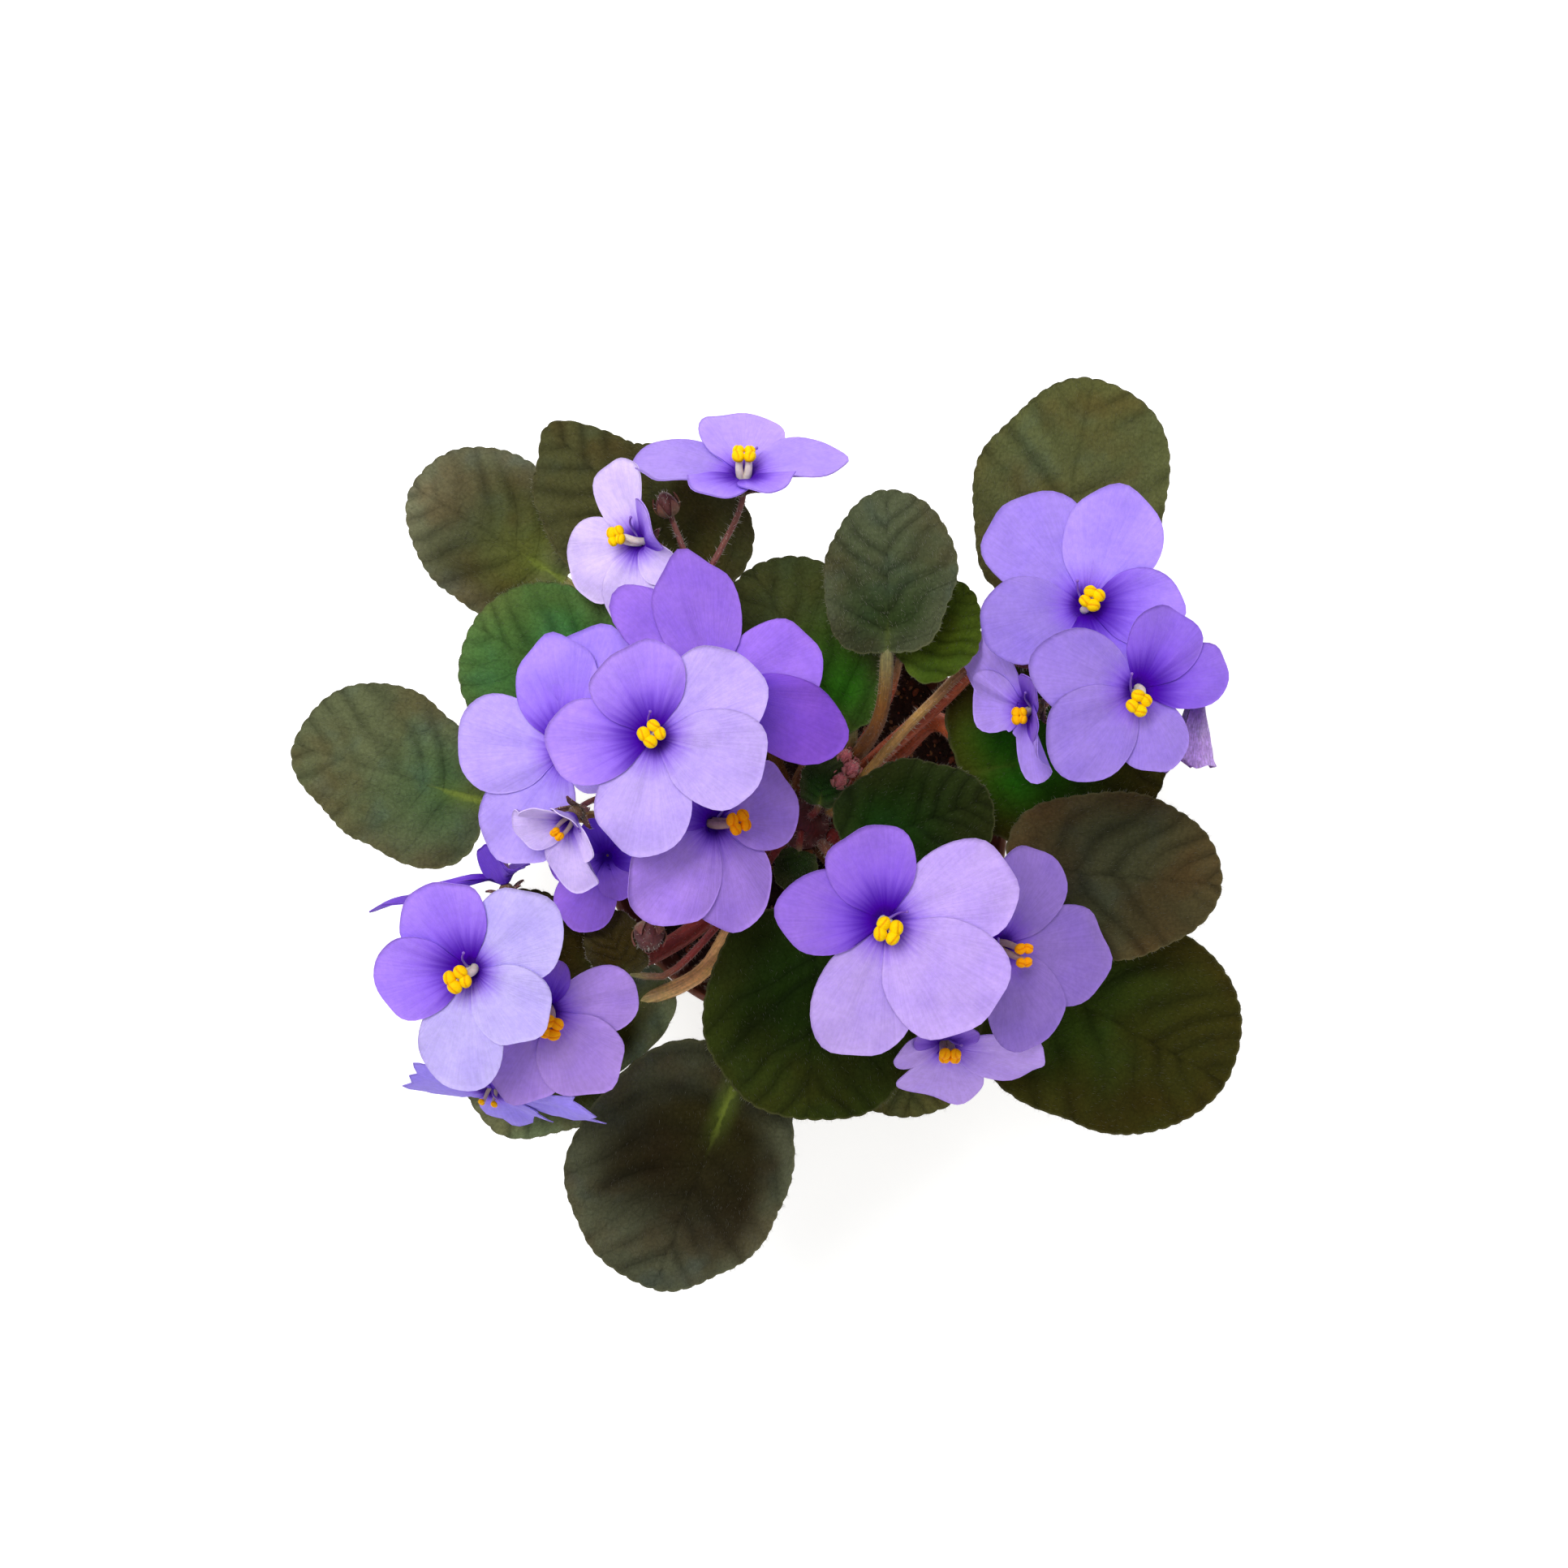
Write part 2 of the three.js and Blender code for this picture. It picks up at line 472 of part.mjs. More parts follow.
function buildBlade(leaf, frame, counts = BLADE_RING_COUNTS) {
  const node = (reach, angle, scallop) => ({
    angle,
    point: bladePoint(leaf, frame, reach, angle, scallop),
    normal: frame.up,
    thickness: BLADE_THICKNESS * mix(1, 0.7, reach),
  });
  const rings = counts.map((count, k) => Array.from({ length: count }, (_, i) => {
    const isEdge = k === counts.length - 1;
    const scallop = isEdge ? SCALLOP_DEPTH * (i % 2 ? 1 : -1) : 0;
    return node(isEdge ? 1 : BLADE_RING_REACH[k], -Math.PI + (2 * Math.PI * i) / count, scallop);
  }));
  return sheet(node(0, 0, 0), rings);
}

// The stalk from its root to the blade, running on a little under the blade as the midrib
function buildPetiole(leaf, frame, root, rootDirection, sides = PETIOLE_SIDES, steps = PETIOLE_STEPS) {
  const radius = leaf.petiole ?? PETIOLE_RADIUS;
  const under = (reach, drop) => bladePoint(leaf, frame, reach, Math.PI).addScaledVector(frame.up, -drop * radius);
  const jointShare = Math.min(1, frame.length / 2 / bladeReach(leaf, frame.length, Math.PI));
  const joint = under(0.96 * jointShare, 0.7);
  const points = [root, root.clone().addScaledVector(rootDirection, 2.2)];
  if (leaf.via) {
    points.push(...leaf.via.map(vector));
  } else {
    const span = joint.distanceTo(root);
    const curve = new THREE.CubicBezierCurve3(
      points[1], points[1].clone().addScaledVector(rootDirection, 0.3 * span),
      joint.clone().addScaledVector(frame.along, -0.3 * span), joint);
    points.push(...curve.getPoints(4).slice(1, -1));
  }
  points.push(joint, under(0.5 * jointShare, 0.4));
  return stem(points, radius, 0.55 * radius, sides, steps);
}

function buildLeaf(leaf) {
  const frame = leafFrame(leaf);
  const [bearing, tier] = leaf.start;
  const root = polar(STALK_START_RADIUS, bearing, LEAF_TIERS[tier]);
  const outward = polar(1, bearing, 0);
  return fuse([buildBlade(leaf, frame), buildPetiole(leaf, frame, root, outward)]);
}

// An egg-shaped bud pointing along a direction, its blunt end at the base point
function buildBud(base, tip, radius, sides = 6) {
  const length = base.distanceTo(tip);
  const bud = new THREE.SphereGeometry(1, sides, 4);
  bud.scale(radius, length / 2, radius);
  bud.translate(0, length / 2, 0);
  bud.applyQuaternion(new THREE.Quaternion().setFromUnitVectors(
    new THREE.Vector3(0, 1, 0), tip.clone().sub(base).normalize()));
  bud.translate(base.x, base.y, base.z);
  return bud;
}

// Crown: the stub of stem in the soil's hole, with the youngest leaves and a young spray
function buildCrown() {
  const profile = [
    [0, CROWN_BOTTOM],
    [CROWN_RADIUS - 1, CROWN_BOTTOM],
    [CROWN_RADIUS, CROWN_BOTTOM + 2],
    [CROWN_RADIUS, CROWN_TOP - 3],
    [CROWN_RADIUS - 1.6, CROWN_TOP - 0.8],
    [0, CROWN_TOP],
  ];
  const stub = new THREE.LatheGeometry(profile.map(([r, z]) => new THREE.Vector2(r, z)), CROWN_SIDES);
  stub.rotateX(Math.PI / 2);
  const pieces = [stub];
  YOUNG_LEAVES.forEach((leaf) => {
    const frame = leafFrame(leaf);
    pieces.push(buildBlade(leaf, frame, YOUNG_BLADE_RING_COUNTS));
    pieces.push(buildPetiole(leaf, frame, vector(leaf.root), new THREE.Vector3(0, 0, 1), 5, 4));
  });
  CROWN_BUDS.forEach((place) => {
    const tip = vector(place);
    const root = new THREE.Vector3(2.5, 3.5, CROWN_TOP - 3);
    const base = tip.clone().add(new THREE.Vector3(-0.8, -0.8, -3.6));
    pieces.push(stem([root, root.clone().add(new THREE.Vector3(1, 2, 5)), base, tip], 0.7, 0.5, 4, 3));
    pieces.push(buildBud(base, tip, 1.5, 5));
  });
  return fuse(pieces);
}

// A flower's own frame: out of its throat, and the way in its plane nearest to +X
function flowerFrame(flower) {
  const [bearing, tilt] = flower.lean;
  const out = polar(Math.sin(degrees(tilt)), bearing, Math.cos(degrees(tilt)));
  const east = new THREE.Vector3(1, 0, 0).addScaledVector(out, -out.x).normalize();
  return { centre: vector(flower.at), out, east, north: out.clone().cross(east) };
}

function flowerPoint(frame, radius, angle, height) {
  return frame.centre.clone()
    .addScaledVector(frame.east, radius * Math.cos(angle))
    .addScaledVector(frame.north, radius * Math.sin(angle))
    .addScaledVector(frame.out, height);
}

// How far a rounded lobe reaches from the throat, at an angle from its own middle
function lobeReach(length, width, angle) {
  const middle = 0.56 * length;
  const longHalf = length - middle;
  const wideHalf = width * length;
  const a = (Math.cos(angle) / longHalf) ** 2 + (Math.sin(angle) / wideHalf) ** 2;
  const b = (middle * Math.cos(angle)) / longHalf ** 2;
  const c = (middle / longHalf) ** 2 - 1;
  const inside = b ** 2 - a * c;
  const shoulder = 1 + 0.06 * bump(Math.abs(angle) - LOBE_SHOULDER * width, 0.2);
  return inside > 0 ? ((b + Math.sqrt(inside)) / a) * shoulder : CLEFT_REACH * length;
}

// One lobe's samples from the cleft before it to the cleft after it
function lobeNodes(lobes, index, samples, reachShare) {
  const turn = 2 * Math.PI;
  const [bearing, length, lift, width] = lobes[index];
  const before = lobes[(index + lobes.length - 1) % lobes.length];
  const after = lobes[(index + 1) % lobes.length];
  const middle = degrees(bearing);
  const backGap = ((middle - degrees(before[0])) % turn + turn) % turn;
  const frontGap = ((degrees(after[0]) - middle) % turn + turn) % turn;
  return samples.map((sample) => {
    const offset = sample * (sample < 0 ? backGap : frontGap) / 2;
    const atCleft = sample === -1;
    const neighbour = sample < 0 ? before : after;
    const blend = 0.5 * sample ** 4;
    const fullReach = atCleft
      ? CLEFT_REACH * Math.min(length, before[1])
      : Math.max(lobeReach(length, width, offset), CLEFT_REACH * length);
    const radius = Math.max(fullReach * reachShare, THROAT_RADIUS * 1.4);
    const slope = Math.tan(degrees(mix(lift, neighbour[2], blend)));
    const curl = -0.05 * length * (radius / length) ** 4 + 0.03 * length * sample ** 2 * reachShare;
    return { angle: middle + offset, radius, height: slope * (radius - THROAT_RADIUS) + curl };
  });
}

function buildCorolla(flower) {
  const frame = flowerFrame(flower);
  const asNode = ({ angle, radius, height }) => ({
    angle,
    point: flowerPoint(frame, radius, angle, height),
    normal: frame.out,
    thickness: PETAL_THICKNESS,
  });
  const ringOf = (samples, share) => {
    const ring = flower.lobes.flatMap((_, i) => lobeNodes(flower.lobes, i, samples, share));
    for (let i = 1; i < ring.length; i++) {
      while (ring[i].angle < ring[i - 1].angle) ring[i].angle += 2 * Math.PI;
    }
    return ring.map(asNode);
  };
  const inner = ringOf(LOBE_INNER_SAMPLES, 0.5);
  const outer = ringOf(LOBE_SAMPLES, 1);
  const throatCount = 10;
  const throat = Array.from({ length: throatCount }, (_, i) => {
    const angle = outer[0].angle + (2 * Math.PI * i) / throatCount;
    const point = flowerPoint(frame, THROAT_RADIUS, angle, 0);
    return { angle, point, normal: frame.out, thickness: PETAL_THICKNESS };
  });
  const bottom = flowerPoint(frame, 0, 0, -THROAT_DEPTH);
  const pit = { point: bottom, normal: frame.out, thickness: PETAL_THICKNESS };
  return sheet(pit, [throat, inner, outer]);
}

// The stamens: two plump anthers side by side on a short column in the throat
function buildAnthers(flower) {
  const frame = flowerFrame(flower);
  const basis = new THREE.Matrix4().makeBasis(frame.east, frame.north, frame.out).setPosition(frame.centre);
  const foot = -THROAT_DEPTH + PETAL_THICKNESS / 2 + 2 * FIT_GAP;
  const [aside, ahead] = flower.anthers ?? [0, 0];
  const bend = new THREE.Vector3(0.1 * aside, 0.1 * ahead, 0.5);
  const head = new THREE.Vector3(aside, ahead, ANTHER_HEIGHT);
  const column = stem([new THREE.Vector3(0, 0, foot), bend, head], 0.35, 0.85, 3, 2);
  const pieces = [-1, 1].map((side) => {
    const anther = new THREE.SphereGeometry(1, 4, 3);
    anther.scale(ANTHER_SIZE.x, ANTHER_SIZE.y, ANTHER_SIZE.z);
    anther.rotateZ(side * 0.35);
    anther.translate(aside + side * ANTHER_SPACING, ahead, ANTHER_HEIGHT);
    return anther;
  });
  return fuse([column, ...pieces].map((piece) => piece.applyMatrix4(basis)));
}

// The star-shaped cup behind a flower, its pointed sepals in one with it, and its foot
function buildCalyx(flower) {
  const frame = flowerFrame(flower);
  const top = -THROAT_DEPTH - PETAL_THICKNESS / 2 - FIT_GAP;
  const points = [flowerPoint(frame, 0, 0, top), flowerPoint(frame, 0, 0, top - CALYX_LENGTH)];
  const triangles = [];
  const count = 2 * SEPALS;
  for (let i = 0; i < count; i++) {
    const angle = (2 * Math.PI * i) / count;
    const radius = i % 2 ? SEPAL_LENGTH : CALYX_RADIUS;
    points.push(flowerPoint(frame, radius, angle, top));
    points.push(flowerPoint(frame, radius, angle, top - SEPAL_THICKNESS));
    const upper = 2 + 2 * i;
    const nextUpper = 2 + 2 * ((i + 1) % count);
    triangles.push([0, upper, nextUpper], [upper, upper + 1, nextUpper + 1],
      [upper, nextUpper + 1, nextUpper], [1, nextUpper + 1, upper + 1]);
  }
  const foot = flowerPoint(frame, 0, 0, top - 0.6 * CALYX_LENGTH);
  return { shape: geometryFrom(points, triangles), foot, out: frame.out };
}

// A flower spray's stalks: the stem from the crown to its fork, a thin stalk with a calyx for
// each flower, and its buds
function buildSpray(key) {
  const spray = SPRAYS[key];
  const [bearing, height] = spray.start;
  const root = polar(STALK_START_RADIUS, bearing, height);
  const rise = polar(STALK_START_RADIUS + 1.8, bearing, height + 4.5);
  const route = [root, rise, ...spray.route.map(vector)];
  const mainCurve = new THREE.CatmullRomCurve3(route, false, "centripetal");
  const pieces = [stem(route, PEDUNCLE_RADIUS * 1.1, PEDUNCLE_RADIUS * 0.8, 6, 8)];
  FLOWERS.filter((flower) => flower.spray === key).forEach((flower) => {
    const calyx = buildCalyx(flower);
    pieces.push(calyx.shape, pedicel(mainCurve, flower.from ?? 1, calyx.foot, calyx.out));
  });
  spray.buds.forEach((bud) => {
    const tip = vector(bud.tip);
    const from = mainCurve.getPointAt(bud.from ?? 1);
    const onward = tip.clone().sub(from).normalize().add(new THREE.Vector3(0, 0, 0.6));
    const lean = (bud.way ? vector(bud.way) : onward).normalize();
    const base = tip.clone().addScaledVector(lean, -bud.length);
    pieces.push(buildBud(base, tip, bud.radius));
    pieces.push(pedicel(mainCurve, bud.from ?? 1, base.clone().addScaledVector(lean, 0.6), lean));
  });
  return fuse(pieces);
}

// A thin stalk from a point along the spray's stem, arching up and arriving from behind
function pedicel(mainCurve, share, end, arrival) {
  const start = mainCurve.getPointAt(share);
  const span = start.distanceTo(end);
  const rise = start.clone().lerp(end, 0.3).add(new THREE.Vector3(0, 0, 0.25 * span));
  const curve = new THREE.CubicBezierCurve3(start, rise, end.clone().addScaledVector(arrival, -0.35 * span), end);
  return stem(curve.getPoints(4), PEDICEL_RADIUS * 1.2, PEDICEL_RADIUS, 5, 4);
}

const plant = new THREE.Group();

function addPiece(name, geometry, colour, roughness) {
  const material = new THREE.MeshStandardMaterial({ color: colour, roughness, metalness: 0 });
  const mesh = new THREE.Mesh(geometry, material);
  mesh.name = name;
  plant.add(mesh);
}

const twoDigits = (number) => String(number).padStart(2, "0");

addPiece("pot", buildPot(), COLOURS.pot, 0.5);
addPiece("potting_soil", buildSoil(), COLOURS.soil, 1);
addPiece("crown", buildCrown(), COLOURS.crown, 0.8);
LEAVES.forEach((leaf, i) => addPiece(`leaf_${twoDigits(i + 1)}`, buildLeaf(leaf), COLOURS.leaf, 0.8));
Object.keys(SPRAYS).forEach((key) => addPiece(`flower_stalk_${key}`, buildSpray(key), COLOURS.stalk, 0.8));
FLOWERS.forEach((flower, i) => {
  addPiece(`corolla_${twoDigits(i + 1)}`, buildCorolla(flower), COLOURS.petals, 0.7);
  if (!FLOWERS_WITH_HIDDEN_ANTHERS.includes(i + 1)) {
    addPiece(`anthers_${twoDigits(i + 1)}`, buildAnthers(flower), COLOURS.anthers, 0.6);
  }
});

export default plant;
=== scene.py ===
"""Potted African violet: how its leaves, flowers, stalks, soil and pot look.

The tables hold the plant's driving sizes in millimetres, with the origin at the middle of the
pot's base, +X to the right and +Y to the back as seen from straight above. Each kind of piece
is worked out from its table by a function of its own, and made in metres.
"""

import math

import bpy
import numpy as np
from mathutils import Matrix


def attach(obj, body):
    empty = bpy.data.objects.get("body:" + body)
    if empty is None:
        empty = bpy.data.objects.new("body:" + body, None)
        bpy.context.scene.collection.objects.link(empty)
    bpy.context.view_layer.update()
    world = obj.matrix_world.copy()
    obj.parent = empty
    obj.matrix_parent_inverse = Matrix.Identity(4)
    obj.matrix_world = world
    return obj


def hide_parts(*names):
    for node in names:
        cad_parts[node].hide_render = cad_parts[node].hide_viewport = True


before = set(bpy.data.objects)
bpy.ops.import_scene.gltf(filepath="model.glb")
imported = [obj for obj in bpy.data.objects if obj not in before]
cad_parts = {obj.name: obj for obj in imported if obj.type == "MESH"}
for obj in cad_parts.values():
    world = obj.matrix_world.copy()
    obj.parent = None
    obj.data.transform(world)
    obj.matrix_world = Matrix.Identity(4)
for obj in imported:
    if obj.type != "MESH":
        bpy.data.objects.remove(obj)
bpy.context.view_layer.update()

MM = 0.001
UP = np.array([0.0, 0.0, 1.0])

# Pot and soil
POT_HEIGHT = 80
POT_RIM_RADIUS = 46.5
POT_COLLAR_RADIUS = 45.1
POT_COLLAR_HEIGHT = 11
POT_WALL_TOP_RADIUS = 43.9
POT_BASE_RADIUS = 32
POT_BASE_HOLLOW = 0.9
POT_FOOT_ROUNDING = 0.9
POT_WALL = 1.6
POT_FLOOR = 2
POT_SIDES = 144
POT_SHARP_ANGLE = 40
DRAIN_HOLES = 6
DRAIN_RADIUS = 4
DRAIN_CIRCLE_RADIUS = 19
SOIL_TOP = 70
SOIL_GAP = 0.3
SOIL_RINGS = 34
SOIL_SPOKES = 120
SOIL_GRAINS = 1300
SOIL_FIBRES = 160
SOIL_FIBRE_RADIUS = 0.14

# Crown
CROWN_RADIUS = 5.8
CROWN_BOTTOM = 60
CROWN_TOP = 89
STALK_START_RADIUS = CROWN_RADIUS + 0.55
LEAF_TIERS = (75.5, 80, 84.5)
CROWN_BUDS = ((8.4, 9.6, 100.5), (10.8, 12.2, 102.5), (9.4, 14.6, 101))
CROWN_BUD_RADIUS = 1.7

# Leaf blades and their stalks
BLADE_RINGS = 26
BLADE_SPOKES = 216
YOUNG_BLADE_RINGS = 12
YOUNG_BLADE_SPOKES = 96
BLADE_THICKNESS = 0.95
BLADE_EDGE_THICKNESS = 0.4
BLADE_OVAL_POWER = 2.15
EAR_SIZE = 0.11
EAR_BEARING = 0.55
NOTCH_SIZE = 0.02
TIP_POINT = 0.02
BLADE_WAVES = 5
TOOTH_LENGTH = 3.2
TOOTH_DEPTH = 0.2
QUILT_HEIGHT = 0.48
RIB_DEPTH = 0.35
VEIN_DEPTH = 0.45
VEIN_PAIRS = 6.4
VEIN_LEAN = (0.35, 1.05)
VEIN_CURVE = 1.3
VEIN_SIDE_SHIFT = 0.14
PETIOLE_RADIUS = 1.55
PETIOLE_TAPER = (1, 0.86, 0.14)

# Flowers
PETAL_THICKNESS = 0.5
PETAL_EDGE_THICKNESS = 0.24
PETAL_RINGS = 18
PETAL_SPOKES = 30
PETAL_OVERLAP_LIFT = 0.4
PETAL_LENGTH = 22
LOBE_START = 1.1
LOBE_SHOULDER = 1.3
THROAT_RADIUS = 1.9
THROAT_DEPTH = 1.7
CLEFT_REACH = 0.42
EYE_REACH = 0.25
DARK_EYE_REACH = 0.5
ANTHER_HEIGHT = 4.2
ANTHER_SPACING = 1.25
ANTHER_HALF = np.array([1.3, 1.5, 1.2])
FILAMENT_RADII = (0.95, 0.72)
STYLE_ROUTE = ((0, 0.6, -1.2), (0.6, 2.0, 0.9), (1.4, 3.2, 2.4), (2.6, 4.0, 3.3))
STYLE_RADII = (0.3, 0.2)
STIGMA_RADIUS = 0.34
CALYX_LENGTH = 2.4
CALYX_RADIUS = 1.6
CALYX_GAP = 0.65
SEPALS = 5
SEPAL_LENGTH = 4.4
SEPAL_HALF_THICKNESS = 0.2
PEDICEL_RADIUS = 0.6
PEDUNCLE_RADIUS = 1.15

# Hairs
HAIR_RADIUS = 0.055
STALK_HAIR_RADIUS = 0.04
BLADE_HAIR_RADIUS = 0.032
HAIR_SINK = 0.12
HAIR_LEAN = 0.35

# How many hairs grow on a square millimetre of a blade, and on a millimetre of margin or stalk
BLADE_HAIRS = 0.5
YOUNG_BLADE_HAIRS = 2.4
FRINGE_HAIRS = 1.5
PETIOLE_HAIRS = 6
STEM_HAIRS = 7
PEDICEL_HAIRS = 6.5

# How far a tube's rounded ends stand out, as shares of its radius there
TUBE_ENDS = (0.5, 0.7)

# Where most of a noise's values lie
NOISE_RANGE = (0.3, 0.7)

# Camera: straight above the plant
CAMERA_PLACE = (-4.2, 8.6, 530)
CAMERA_LENS = 45.65
SENSOR_WIDTH = 36

# The skins that a piece has, and the number of each in a piece's list
PLANT_SKINS = ("leaf", "leaf_back", "stalk", "hair")
LEAF, LEAF_UNDER, STALK, HAIR = range(4)
FLOWER_SKINS = ("petal", "petal_back")
PETAL, PETAL_UNDER = range(2)
ANTHER_SKINS = ("anther", "filament")
ANTHER, FILAMENT = range(2)


def srgb(red, green, blue):
    """A colour given on the usual scale of 0 to 255, as the linear one that materials use."""
    share = np.array([red, green, blue]) / 255
    linear = np.where(share <= 0.04045, share / 12.92, ((share + 0.055) / 1.055) ** 2.4)
    return (*linear.tolist(), 1.0)


LEAF_LIGHT = 0.9
LEAF_BACK = srgb(128, 140, 92)
LEAF_RIM = srgb(136, 132, 92)
RIB_GREEN = srgb(148, 164, 62)
RIB_GLOW = srgb(92, 112, 40)
STALKS = {
    "red": srgb(124, 36, 30),
    "orange": srgb(170, 64, 24),
    "rose": srgb(172, 80, 48),
    "brown": srgb(108, 62, 16),
    "tan": srgb(230, 172, 112),
    "olive": srgb(160, 120, 66),
}
HAIR_PALE = srgb(228, 222, 204)
CROWN_FOOT = srgb(74, 42, 30)
CROWN_HEAD = srgb(88, 30, 28)
FLOWER_STALK = srgb(118, 56, 54)
STEM_FOOT = (120, 74, 58)
PEDICEL_END = srgb(126, 84, 70)
CALYX = srgb(110, 84, 58)
SEPAL_FOOT = srgb(112, 92, 60)
SEPAL_TIP = srgb(104, 48, 50)
BUD_MAUVE = srgb(196, 106, 108)
BUD_DARK = srgb(92, 48, 46)
BUD_SEPALS = (srgb(120, 96, 62), srgb(128, 66, 60))
YOUNG_BUD_SEPALS = (srgb(150, 84, 76), srgb(206, 124, 120))
WITHERED = srgb(176, 138, 214)
WITHERED_FOOT = srgb(104, 66, 150)
WITHERED_CORE_SHADE = srgb(84, 48, 116)
PETAL_LIGHT = 0.86
PETAL_CAST = np.array([1, 0.97, 1.08])
PETAL_BACK = srgb(112, 74, 200)
THROAT_VIOLET = srgb(150, 112, 236)
EYE_OUTER = srgb(130, 82, 226)
EYE_INNER = srgb(68, 0, 166)
EYE_MIDDLE = srgb(34, 0, 104)
POLLEN_YELLOW = srgb(255, 206, 0)
# the deeper orange pollen and the duller filament colour are painted shade for anthers that lie in shade
POLLEN_SHADED = srgb(255, 150, 0)
FILAMENT_PALE = srgb(234, 220, 202)
FILAMENT_SHADED = srgb(150, 108, 108)
STYLE_FOOT = srgb(150, 120, 214)
STYLE_END = srgb(104, 58, 176)
STIGMA = srgb(132, 92, 190)
SOIL_DARK = srgb(48, 24, 19)
SOIL_FIBRE = srgb(120, 76, 48)
SOIL_GRAIN_SHADES = ((60, 36, 28), (92, 52, 38), (132, 66, 46), (44, 28, 24), (150, 102, 72))

